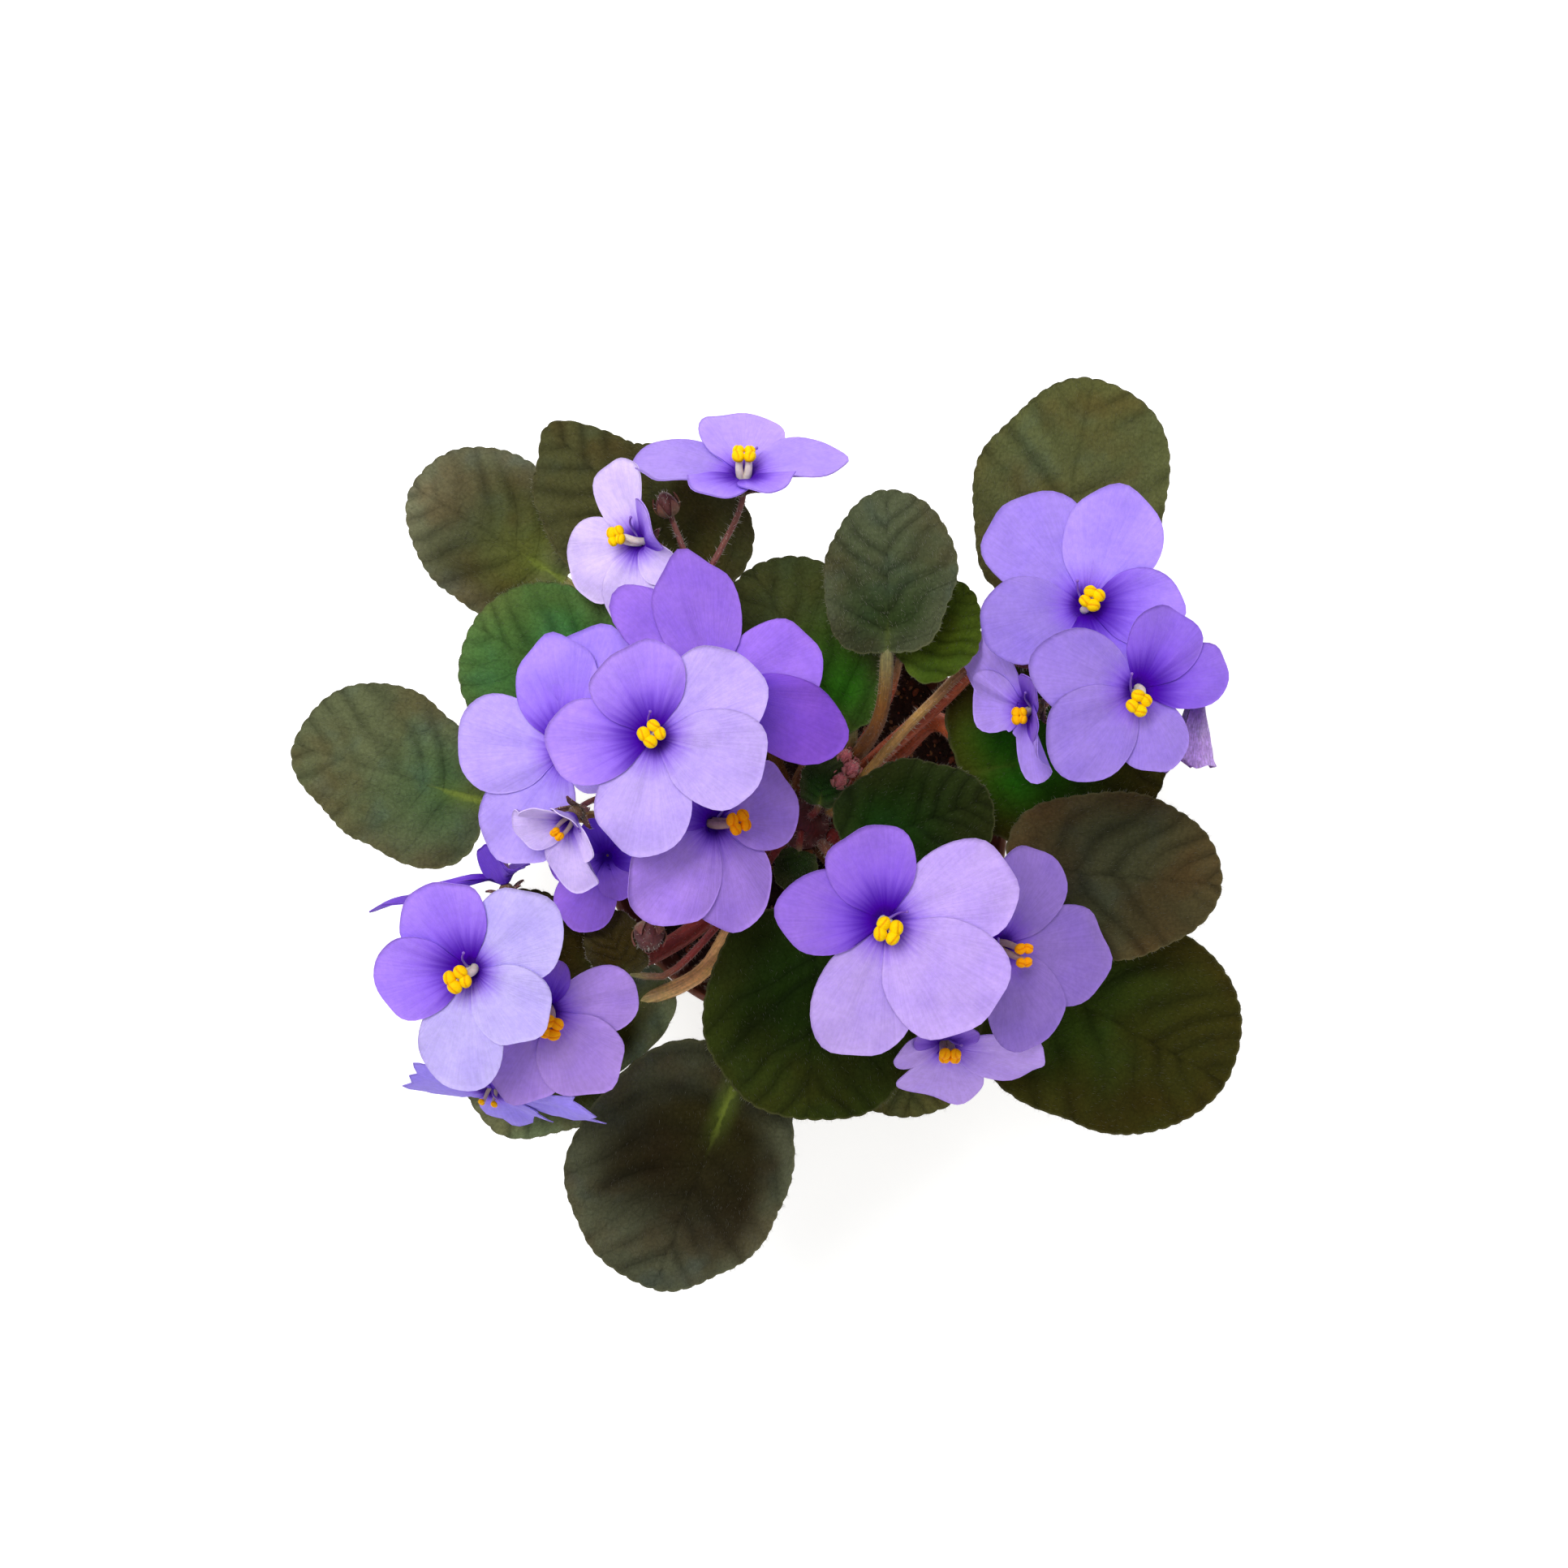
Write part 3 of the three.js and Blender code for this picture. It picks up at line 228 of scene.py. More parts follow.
# Every leaf: where its stalk meets the blade, the blade's tip and width, where the stalk leaves
# the crown (bearing in degrees, tier), the blade's shape in millimetres (see blade_height and
# blade_reach), its colours over most of it, round the foot of the midrib and at the margin, and
# how bright the midrib is. bulge holds how far the margin stands out from a plain oval in
# directions spaced evenly round the blade's middle, from the tip on by its left side. via holds
# points that the stalk passes, and fuzz and fringe say how many hairs grow on its face and margin.
LEAVES = (
    dict(base=(-52.2, 53, 94), tip=(-86.5, 74.6, 92), width=35, start=(134, 0),
         cup=1.5, arch=2, quilt=0.6, bulge=(-0.8, -3.2, -1.8, 0.5, 0, 0.5, 0.4, -0.2),
         tone=(65, 67, 41), heart=(84, 88, 38), edge=(108, 108, 82), rib=0.6, stalk="olive"),
    dict(base=(-18.5, 51.5, 99), tip=(-55.9, 86.6, 97), width=38, start=(116, 1), roll=4,
         arch=1, fold=4.5, point=0.17, quilt=0.6, bulge=(-4.4, -1.4, 0.5, 0, 2, 0.2, -3.5, -8.6),
         tone=(62, 59, 31), heart=(82, 84, 38), edge=(74, 75, 43), rib=0.1, stalk="brown"),
    dict(base=(-36, 22.8, 101), tip=(-71.5, 43.2, 99), width=37, start=(152, 2), roll=-6,
         cup=-1.5, arch=3, quilt=0.7, bulge=(0, 1, 2, 0, 0, 0, 0, -0.3),
         tone=(56, 100, 46), heart=(50, 104, 42), edge=(92, 116, 62), rib=0.2, stalk="olive"),
    dict(base=(-69.6, 4.5, 93), tip=(-113.4, 17.6, 88), width=38, start=(176, 0), roll=2,
         cup=2, arch=2.5, quilt=1.35, bulge=(-0.7, -4.9, -3, 1.4, 0, -2.8, 0, -0.2),
         tone=(90, 96, 64), heart=(68, 92, 54), edge=(88, 92, 64), rib=0.75, stalk="olive"),
    dict(base=(10.8, 20.1, 102), tip=(-11.3, 54.9, 105), width=34, start=(97, 2), roll=-4,
         cup=1, arch=2, quilt=0.7, bulge=(-0.5, -0.3, 0, 0, 0.3, -1.8, 0, 0),
         tone=(60, 66, 28), heart=(48, 110, 18), edge=(66, 72, 38), rib=0.1, stalk="brown"),
    dict(base=(17.4, 36, 116), tip=(17, 69.9, 119), width=28, start=(62, 2),
         cup=2.2, arch=2.5, wave=0.8, quilt=0.85, bulge=(-0.8, -2.2, -0.8, 0, 0, -1.2, 0.2, -0.5),
         petiole=1.75, via=((11.8, 15.3, 98), (15.6, 21.2, 107), (17, 28, 112)), fuzz=2.2,
         tone=(70, 78, 52), heart=(44, 58, 26), edge=(84, 88, 64), rib=0.15, stalk="brown"),
    dict(base=(20.1, 35, 110), tip=(35, 49.5, 111), width=21, start=(56, 0),
         cup=1, arch=1, quilt=0.5, bulge=(0, 0, 0, 0, 0, 0.9, 0.2, -0.9),
         petiole=0.95, via=((18, 26, 99),),
         tone=(52, 70, 6), heart=(76, 98, 24), edge=(74, 90, 24), rib=0.1, stalk="orange"),
    dict(base=(53.3, 48.3, 94), tip=(63.1, 97.2, 97), width=42, start=(36, 1),
         cup=2, arch=3, quilt=1.2, bulge=(-0.7, -3, 0.5, -0.4, 0, 0, -0.7, 0.3),
         petiole=2.05, via=((15.5, 13.6, 91.5), (28, 25, 95.2), (38, 35, 99.5)),
         tone=(86, 92, 56), heart=(90, 85, 40), edge=(88, 88, 46), rib=0.1, stalk="rose"),
    dict(base=(40.2, 11.8, 95), tip=(79.9, 19.5, 92), width=37, start=(18, 0), roll=5,
         cup=-1.5, arch=2.5, quilt=0.7, bulge=(0, 0, 2, 8.5, 6, 3, 0.5, 0.5),
         petiole=2.6, via=((13.5, 9, 79.5), (22, 16.5, 84.5), (29.5, 22.5, 87.5)),
         tone=(36, 40, 3), heart=(30, 84, 6), edge=(64, 56, 14), rib=0.1, stalk="rose"),
    dict(base=(9.6, -5.2, 99), tip=(40.2, 5.8, 104), width=25, start=(-26, 2), roll=3,
         cup=1.2, arch=2, quilt=0.8, bulge=(-0.4, -0.6, 2.2, 2, 0.5, 0, 1, 0.8),
         tone=(25, 37, 4), heart=(22, 52, 8), edge=(44, 54, 20), rib=0.0, stalk="red"),
    dict(base=(46.8, -9.3, 98), tip=(90.3, -13.2, 100), width=35, start=(-8, 1), roll=4,
         cup=1.5, arch=3, quilt=0.6, bulge=(-0.2, -0.3, 1, 0.8, 3, 0, 0.3, -1.6),
         tone=(58, 60, 38), heart=(58, 56, 36), edge=(88, 72, 42), rib=0.1, stalk="red"),
    dict(base=(48.5, -33, 90), tip=(94, -57.8, 87), width=49, start=(-32, 0),
         cup=1.5, arch=2.5, quilt=0.8, bulge=(0, 0, 0, 0, 0, 4.6, -1, -2.2),
         tone=(43, 42, 8), heart=(50, 72, 16), edge=(60, 58, 16), rib=0.1, stalk="brown"),
    dict(base=(3.2, -20.8, 97), tip=(0.9, -65.1, 95), width=42, start=(-84, 2),
         cup=1.5, arch=2, quilt=0.75, bulge=(-0.6, 1.4, 1.8, 1, 0, 3, 2.9, 0.4),
         tone=(22, 34, 2), heart=(20, 40, 2), edge=(56, 64, 18), rib=0.0, stalk="brown"),
    # this leaf's margin colour is partly its own paler green and partly painted light, lifted against the
    # shade that falls on it
    dict(base=(22.6, -29.6, 88), tip=(24, -66, 85), width=34, start=(-56, 1),
         cup=0.5, arch=2, quilt=0.7, bulge=(-0.5, 0, 0, 0, 0, 0, 0, 0),
         tone=(74, 78, 34), heart=(60, 70, 26), edge=(106, 110, 68), rib=0.1, stalk="brown"),
    dict(base=(-15.6, -59.1, 88), tip=(-33.5, -104, 85), width=47, start=(-98, 0),
         cup=2, arch=3, quilt=1.15, bulge=(0, -5.1, -4.2, -1.4, 8, 5.5, 5.3, 1.8),
         tone=(34, 29, 14), heart=(38, 34, 10), edge=(96, 100, 76), rib=0.5, stalk="tan"),
    # this leaf's margin colour is partly its own pale grey-green and partly painted light, lifted against
    # the shade that falls on it
    dict(base=(-36.2, -39.7, 86), tip=(-69.9, -68, 84), width=34, start=(-143, 0), roll=-4,
         cup=1, arch=2, quilt=0.8, bulge=(0, -4.3, -3, -8, 8, -2, 0, 3.5),
         petiole=2, via=((-12, -15.5, 79.5), (-21.5, -32.5, 83.5), (-28, -36.8, 85)), fringe=2,
         tone=(66, 72, 18), heart=(44, 42, 4), edge=(142, 158, 118), rib=0.2, stalk="tan"),
    dict(base=(-44.8, -32.5, 91), tip=(-69.4, -17.3, 89.5), width=24, start=(-155, 1), roll=4,
         cup=1, arch=2, quilt=0.6, bulge=(-0.3, 0, 0, 0, 0, -3, -3.5, -3),
         petiole=2.3, via=((-18.6, -18.8, 86), (-33.8, -29.4, 89.5)),
         tone=(56, 50, 14), heart=(60, 48, 12), edge=(66, 66, 36), rib=0.1, stalk="red"),
)
YOUNG_LEAVES = (
    dict(base=(-38, -33.4, 95), tip=(-43.9, -19.2, 97), width=13, root=(-4, -3.5, 86),
         cup=1.4, arch=0.5,
         petiole=0.9, fringe=4,
         tone=(68, 56, 20), heart=(66, 54, 18), edge=(80, 74, 42), rib=0.1, stalk="red"),
    dict(base=(3.5, 4, 95), tip=(5.5, 15.5, 100), width=10, root=(1.5, 1.5, 86),
         cup=1.2, arch=0.4,
         petiole=0.9, fringe=3,
         tone=(30, 52, 18), heart=(50, 92, 32), edge=(84, 92, 52), rib=0.9, stalk="red"),
    dict(base=(-1, -6, 94), tip=(-2.5, -15, 98), width=9.5, root=(-0.5, -2, 86),
         cup=1.2, arch=0.4,
         petiole=0.9,
         tone=(28, 42, 14), heart=(40, 60, 20), edge=(60, 66, 34), rib=0.1, stalk="red"),
)

# Every flower: the middle of its throat, the way it leans (bearing, degrees), its five lobes
# counter-clockwise (bearing in its own plane, length, lift in degrees, width), which lobes are
# the dark upper ones, and the colours of the light and of the dark lobes, which differ from flower
# to flower partly as painted light and shade. anthers says how far aside the anthers stand in the
# same plane, cluster how they are turned, their size and their gap, ripe how deep an orange they
# are painted for the shade that they lie in and rise how much further out they stand. front is the
# lobe that lies over the others, share is where on the spray's stem the flower's own stalk starts,
# shades and points say how light and how pointed each lobe is, the lightness being painted light
# and shade, and frill how torn and ruffled they are.
FLOWERS = (
    dict(spray="a", at=(-12.5, 72.5, 120), lean=(88, 44), dark=(2, 3),
         lobes=((92, 20.5, 6, 0.42), (172, 22.5, 6, 0.36), (235, 15, 22, 0.42), (305, 14, 28, 0.4),
                (16, 21.8, 6, 0.32)),
         light=(190, 162, 248), deep=(176, 144, 244), shades=(1.02, 0.84, 1, 1, 0.97),
         anthers=(0, 1.4), cluster=(0, 0.95, 0)),
    dict(spray="a", at=(-34.5, 59, 116.5), lean=(185, 38), dark=(4,),
         lobes=((106, 18, 10, 0.36), (197, 19.5, 8, 0.44), (262, 20, -4, 0.38), (318, 11, -10, 0.4),
                (25, 12, 45, 0.4)),
         light=(229, 210, 253), deep=(196, 166, 250),
         anthers=(-2.4, 1.1), cluster=(10, 0.85, 0)),
    dict(spray="a", share=0.5, at=(-18.4, 28.1, 125.5), lean=(50, 12), dark=(3,), front=0,
         lobes=((103, 27, 2, 0.31), (134, 28.5, -3, 0.21), (235, 14, 2, 0.4), (340, 29.3, -4, 0.27),
                (22, 22.8, 6, 0.38)),
         light=(160, 118, 223), deep=(142, 90, 208), shades=(1, 1.06, 1, 1, 1.16),
         points=(0.12, 0, 0, 0, 0)),
    dict(spray="b", at=(-30, 18, 136), lean=(-30, 6), dark=(1, 2),
         lobes=((34, 25, 6, 0.38), (106, 19, 10, 0.48), (183, 21, 8, 0.39), (261, 24, 4, 0.38),
                (341, 23, 6, 0.42)),
         light=(209, 186, 253), deep=(190, 154, 252),
         anthers=(-0.5, 0.7), cluster=(40, 1, 0)),
    dict(spray="b", at=(-49, 15.5, 120), lean=(180, 8), dark=(0, 1),
         lobes=((74, 27, -2, 0.32), (99, 23.5, 0, 0.36), (175, 23.5, 2, 0.42),
                (236, 27.5, -8, 0.34), (320, 11, 0, 0.4)),
         light=(201, 178, 253), deep=(186, 154, 254)),
    dict(spray="b", at=(-48, 1, 125.5), lean=(235, 42), dark=(),
         lobes=((70, 8, 50, 0.4), (130, 9, 50, 0.42), (198, 12.5, 12, 0.42), (273, 17, 6, 0.36),
                (345, 9, 45, 0.4)),
         light=(230, 210, 255), deep=(196, 166, 240), shades=(1.1, 1.1, 1.1, 1.1, 1.1),
         anthers=(-1.1, -1.4), cluster=(-40, 0.55, 0), anther_shade=0.6, rise=-1),
    dict(spray="b", share=0.6, at=(-42, -7, 107), lean=(250, 14), dark=(0, 1),
         lobes=((8, 9, 5, 0.4), (110, 9, 5, 0.4), (185, 13, -6, 0.4), (243, 18, -4, 0.36),
                (290, 10, -4, 0.4)),
         light=(186, 136, 250), deep=(150, 100, 235)),
    dict(spray="c", at=(-64.5, -11, 104), lean=(104, 80), dark=(1,),
         lobes=((110, 7, 10, 0.4), (180, 29, 0, 0.22), (262, 6.5, 63, 0.42), (310, 7, 20, 0.4),
                (45, 7, 10, 0.4)),
         light=(136, 92, 218), deep=(124, 78, 210)),
    dict(spray="b", at=(-18.7, 0.7, 119), lean=(0, 32), dark=(1, 2),
         lobes=((15, 21.5, 0, 0.42), (85, 13, 4, 0.42), (150, 13, 4, 0.4), (230, 24.5, 0, 0.42),
                (290, 23, 0, 0.42)),
         light=(188, 150, 240), deep=(168, 120, 216),
         anthers=(3.6, 0), anther_shade=0.9),
    dict(spray="c", at=(-67.5, -29, 128), lean=(225, 14), dark=(1, 2),
         lobes=((37, 22.5, 6, 0.42), (118, 19.5, 8, 0.48), (188, 20.5, 6, 0.4),
                (261, 25.5, 2, 0.34), (322, 19, 4, 0.44)),
         light=(209, 197, 254), deep=(180, 142, 252),
         anthers=(-1.4, -0.9), cluster=(30, 1.05, 0), anther_shade=0.15),
    dict(spray="c", at=(-53.5, -38.5, 116), lean=(-60, 16), dark=(1, 2),
         lobes=((8, 19.5, 4, 0.36), (92, 12, 4, 0.42), (160, 12, 4, 0.42), (248, 21.5, 0, 0.38),
                (303, 21.5, 0, 0.42)),
         light=(184, 150, 228), deep=(148, 108, 190),
         anthers=(0.6, -2.4), cluster=(70, 1, 0), anther_shade=0.8),
    dict(spray="c", at=(-67, -57.5, 103), lean=(255, 60), dark=(0, 1), frill=2,
         lobes=((60, 7, 0, 0.4), (125, 7, 0, 0.4), (176, 21, 6, 0.36), (295, 19, 0, 0.44),
                (1, 27.5, 2, 0.22)),
         light=(172, 154, 252), deep=(160, 138, 246),
         cluster=(0, 0.5, 0.8), anther_shade=0.5, rise=-1.5),
    dict(spray="d", at=(16, -18.5, 137), lean=(-60, 5), dark=(1, 2),
         lobes=((20, 27, 5, 0.37), (105, 20, 9, 0.42), (170, 21.5, 8, 0.38), (254, 29, 2, 0.33),
                (315, 28, 3, 0.42)),
         light=(212, 184, 254), deep=(168, 126, 232), shades=(1, 1, 0.94, 0.9, 1),
         anthers=(0, -1.3), cluster=(-20, 1.05, 0)),
    dict(spray="d", at=(40, -24.5, 122.5), lean=(-5, 30), dark=(1, 2),
         lobes=((59, 22.5, 2, 0.38), (130, 12, 8, 0.38), (215, 12, 8, 0.38), (295, 24, 2, 0.38),
                (349, 30, 0, 0.34)),
         light=(158, 128, 208), deep=(148, 112, 196),
         anthers=(3.1, -1.8), cluster=(90, 0.85, 0.35), anther_shade=0.8),
    dict(spray="d", at=(30, -46.5, 111), lean=(-95, 46), dark=(0, 1),
         lobes=((60, 9, 10, 0.4), (128, 9, 20, 0.4), (178, 11, 30, 0.36), (268, 20.5, 2, 0.44),
                (350, 21.5, 2, 0.36)),
         light=(202, 170, 250), deep=(166, 128, 222),
         anthers=(0.7, 2), cluster=(0, 0.9, 0), anther_shade=0.7),
    dict(spray="e", at=(57.5, 45, 123), lean=(110, 12), dark=(0, 4),
         lobes=((357, 20, 2, 0.4), (67, 26, 6, 0.38), (123, 27.5, -1.5, 0.4), (192, 22, 4, 0.4),
                (290, 16, 0, 0.46)),
         light=(180, 152, 246), deep=(184, 150, 252), shades=(1, 1.06, 0.92, 0.8, 1),
         anthers=(1, 0.4), cluster=(60, 0.95, 0)),
    dict(spray="e", at=(67, 27.5, 131), lean=(-15, 12), dark=(0, 1),
         lobes=((13, 19.5, 6, 0.31), (65, 17.5, 14, 0.43), (166, 22.5, 4, 0.38),
                (220, 23.5, 2, 0.38), (288, 17, 2, 0.42)),
         light=(170, 142, 230), deep=(162, 124, 236),
         anthers=(-1.6, -2.6), cluster=(60, 0.95, 0)),
    dict(spray="e", at=(46, 24, 117), lean=(185, 52), dark=(0, 4),
         lobes=((40, 10, 38, 0.4), (142, 22, 6, 0.3), (171, 16, 4, 0.4), (295, 15.5, 4, 0.36),
                (330, 10, 38, 0.4)),
         light=(192, 162, 248), deep=(162, 124, 226),
         anthers=(2.4, -0.9), cluster=(5, 0.75, 0), anther_shade=0.5),
)
FLOWERS_WITH_HIDDEN_ANTHERS = (7,)

# Every spray: where its stem leaves the crown (bearing, height), the points that the stem passes
# up to its fork, the colour of the stem's foot, and its buds (tip, radius, length, share of the
# stem that they leave at, the way they point and whether they are withered)
SPRAYS = {
    "a": dict(start=(118, 88), route=((-14, 16, 101), (-20, 30, 107), (-22, 49, 112)),
              buds=(dict(tip=(-29.5, 69, 117), radius=2.4, length=5.4),)),
    "b": dict(start=(160, 88), route=((-13, 5, 101), (-25, 8, 111)), buds=()),
    "c": dict(start=(192, 87.5),
              route=((-19, -7, 94), (-39, -11.5, 96.5), (-50, -17.5, 97.5), (-57, -21, 103)),
              buds=(dict(tip=(-33, -26.2, 106), radius=3.3, length=6.4, share=0.55),)),
    "d": dict(start=(-48, 88), route=((11.5, -13, 104), (18.5, -21, 112)), buds=()),
    "e": dict(start=(22, 88), stem=(164, 122, 68),
              route=((15.6, 13, 96.5), (27.4, 26, 101), (38, 34.8, 104.5), (53, 33, 108)),
              buds=(dict(tip=(80.8, 11.5, 111.5), radius=3.8, length=13.6, way=(-0.12, -1, 0),
                         wilted=True),)),
}


def unit(vectors):
    vectors = np.asarray(vectors, float)
    return vectors / (np.linalg.norm(vectors, axis=-1, keepdims=True) + 1e-12)


def mix(start, end, share):
    return start + (end - start) * share


def blend_colours(start, end, share):
    return mix(np.asarray(start), np.asarray(end), np.asarray(share)[..., None])


def bump(x, width):
    return np.exp(-((x / width) ** 2))


def smooth_step(low, high, x):
    share = np.clip((x - low) / (high - low), 0, 1)
    return share * share * (3 - 2 * share)


def polar(radius, bearing, height):
    angle = math.radians(bearing)
    return np.array([radius * math.cos(angle), radius * math.sin(angle), height])


def rows_of(values, width):
    return np.asarray(values, float).reshape(-1, width)


def from_axes(origin, axes, *amounts):
    """Points that lie the given amounts along axes from an origin."""
    points = origin
    for axis, amount in zip(axes, amounts):
        points = points + np.asarray(amount)[..., None] * axis
    return points


def ripple(points, size, seed):
    """A smooth field from about -1 to 1 over points, with waves of about the given size."""
    rng = np.random.default_rng(seed)
    total = 0
    for _ in range(6):
        way = unit(rng.normal(size=3)) * rng.uniform(0.6, 1.4)
        total = total + np.sin(points @ way * (2 * np.pi / size) + rng.uniform(0, 2 * np.pi))
    return total / 3.5


def flat_ripple(x, y, level, size, seed):
    """The same over points of a plane, at a level that tells one plane's field from another's."""
    return ripple(np.stack([x, y, np.full_like(x, level)], axis=-1), size, seed)


def even_route(route, steps):
    """The same route as steps + 1 points spaced evenly along it."""
    lengths = np.concatenate([[0], np.cumsum(np.linalg.norm(np.diff(route, axis=0), axis=1))])
    wanted = np.linspace(0, lengths[-1], steps + 1)
    return np.stack([np.interp(wanted, lengths, route[:, i]) for i in range(3)], axis=1)


def smooth_route(points, steps):
    """A centripetal curve through the points, as steps + 1 points spaced evenly along it."""
    knots = np.asarray(points, float)
    knots = np.vstack([2 * knots[0] - knots[1], knots, 2 * knots[-1] - knots[-2]])
    s = np.linspace(0, 1, 40, endpoint=False)[:, None]
    dense = []
    for p0, p1, p2, p3 in zip(knots, knots[1:], knots[2:], knots[3:]):
        d0, d1, d2 = (np.linalg.norm(b - a) ** 0.5 for a, b in ((p0, p1), (p1, p2), (p2, p3)))
        t1 = d1 * ((p1 - p0) / d0 - (p2 - p0) / (d0 + d1) + (p2 - p1) / d1)
        t2 = d1 * ((p2 - p1) / d1 - (p3 - p1) / (d1 + d2) + (p3 - p2) / d2)
        square = 3 * (p2 - p1) - 2 * t1 - t2
        cube = 2 * (p1 - p2) + t1 + t2
        dense.append(p1 + t1 * s + square * s**2 + cube * s**3)
    return even_route(np.vstack([*dense, knots[-2]]), steps)


def bezier_route(start, first, second, end, steps):
    s = np.linspace(0, 1, steps + 1)[:, None]
    return start * (1 - s) ** 3 + 3 * first * s * (1 - s) ** 2 + 3 * second * s**2 * (1 - s) + end * s**3


def route_length(route):
    return np.linalg.norm(np.diff(route, axis=0), axis=1).sum()


def route_sides(route):
    """The tangent and two crosswise directions at each point of a route, turning as little as can be."""
    tangents = unit(np.gradient(route, axis=0))
    first = unit(np.cross(tangents[0], UP + 0.01 * tangents[0] + (0.02, 0.05, 0)))
    normals = [first]
    for tangent in tangents[1:]:
        normals.append(unit(normals[-1] - tangent * (normals[-1] @ tangent)))
    normals = np.array(normals)
    return tangents, normals, np.cross(tangents, normals)


def full_turn(count):
    """Angles spaced evenly all round."""
    return 2 * np.pi * np.arange(count) / count


def round_grid(values, columns):
    """A grid's value in each row, and its angle in each column, all round."""
    return np.meshgrid(values, full_turn(columns), indexing="ij")


def strip_grid(rows, columns):
    """Shares along a strip and across it, from -1 to 1, and the places that its points get."""
    s, t = np.meshgrid(np.linspace(0, 1, rows), np.linspace(-1, 1, columns), indexing="ij")
    return s, t, np.stack([s, t, 0 * s], axis=-1)


def ball(rows, columns):
    """A unit ball as a grid of points from its lower pole to its upper one."""
    rise, turn = round_grid(np.linspace(-np.pi / 2, np.pi / 2, rows), columns)
    return np.stack([np.cos(rise) * np.cos(turn), np.cos(rise) * np.sin(turn), np.sin(rise)], axis=-1)


def grid_faces(rows, columns, wrap):
    """Quads between neighbouring rows of a grid of points, joined round if wrap is set."""
    row, column = np.meshgrid(np.arange(rows - 1), np.arange(columns - (not wrap)), indexing="ij")
    after = (column + 1) % columns
    corners = (row * columns + column, row * columns + after,
               (row + 1) * columns + after, (row + 1) * columns + column)
    return np.stack(corners, axis=-1).reshape(-1, 4)


def ring_fan(middle, ring, turned=False):
    """Triangles from a middle point to a ring of points, which face the other way if turned."""
    sides = (np.roll(ring, -1), ring) if turned else (ring, np.roll(ring, -1))
    return np.stack([np.full_like(ring, middle), *sides], axis=1)


def grid_normals(grid):
    return unit(np.cross(np.gradient(grid, axis=0), np.gradient(grid, axis=1)))


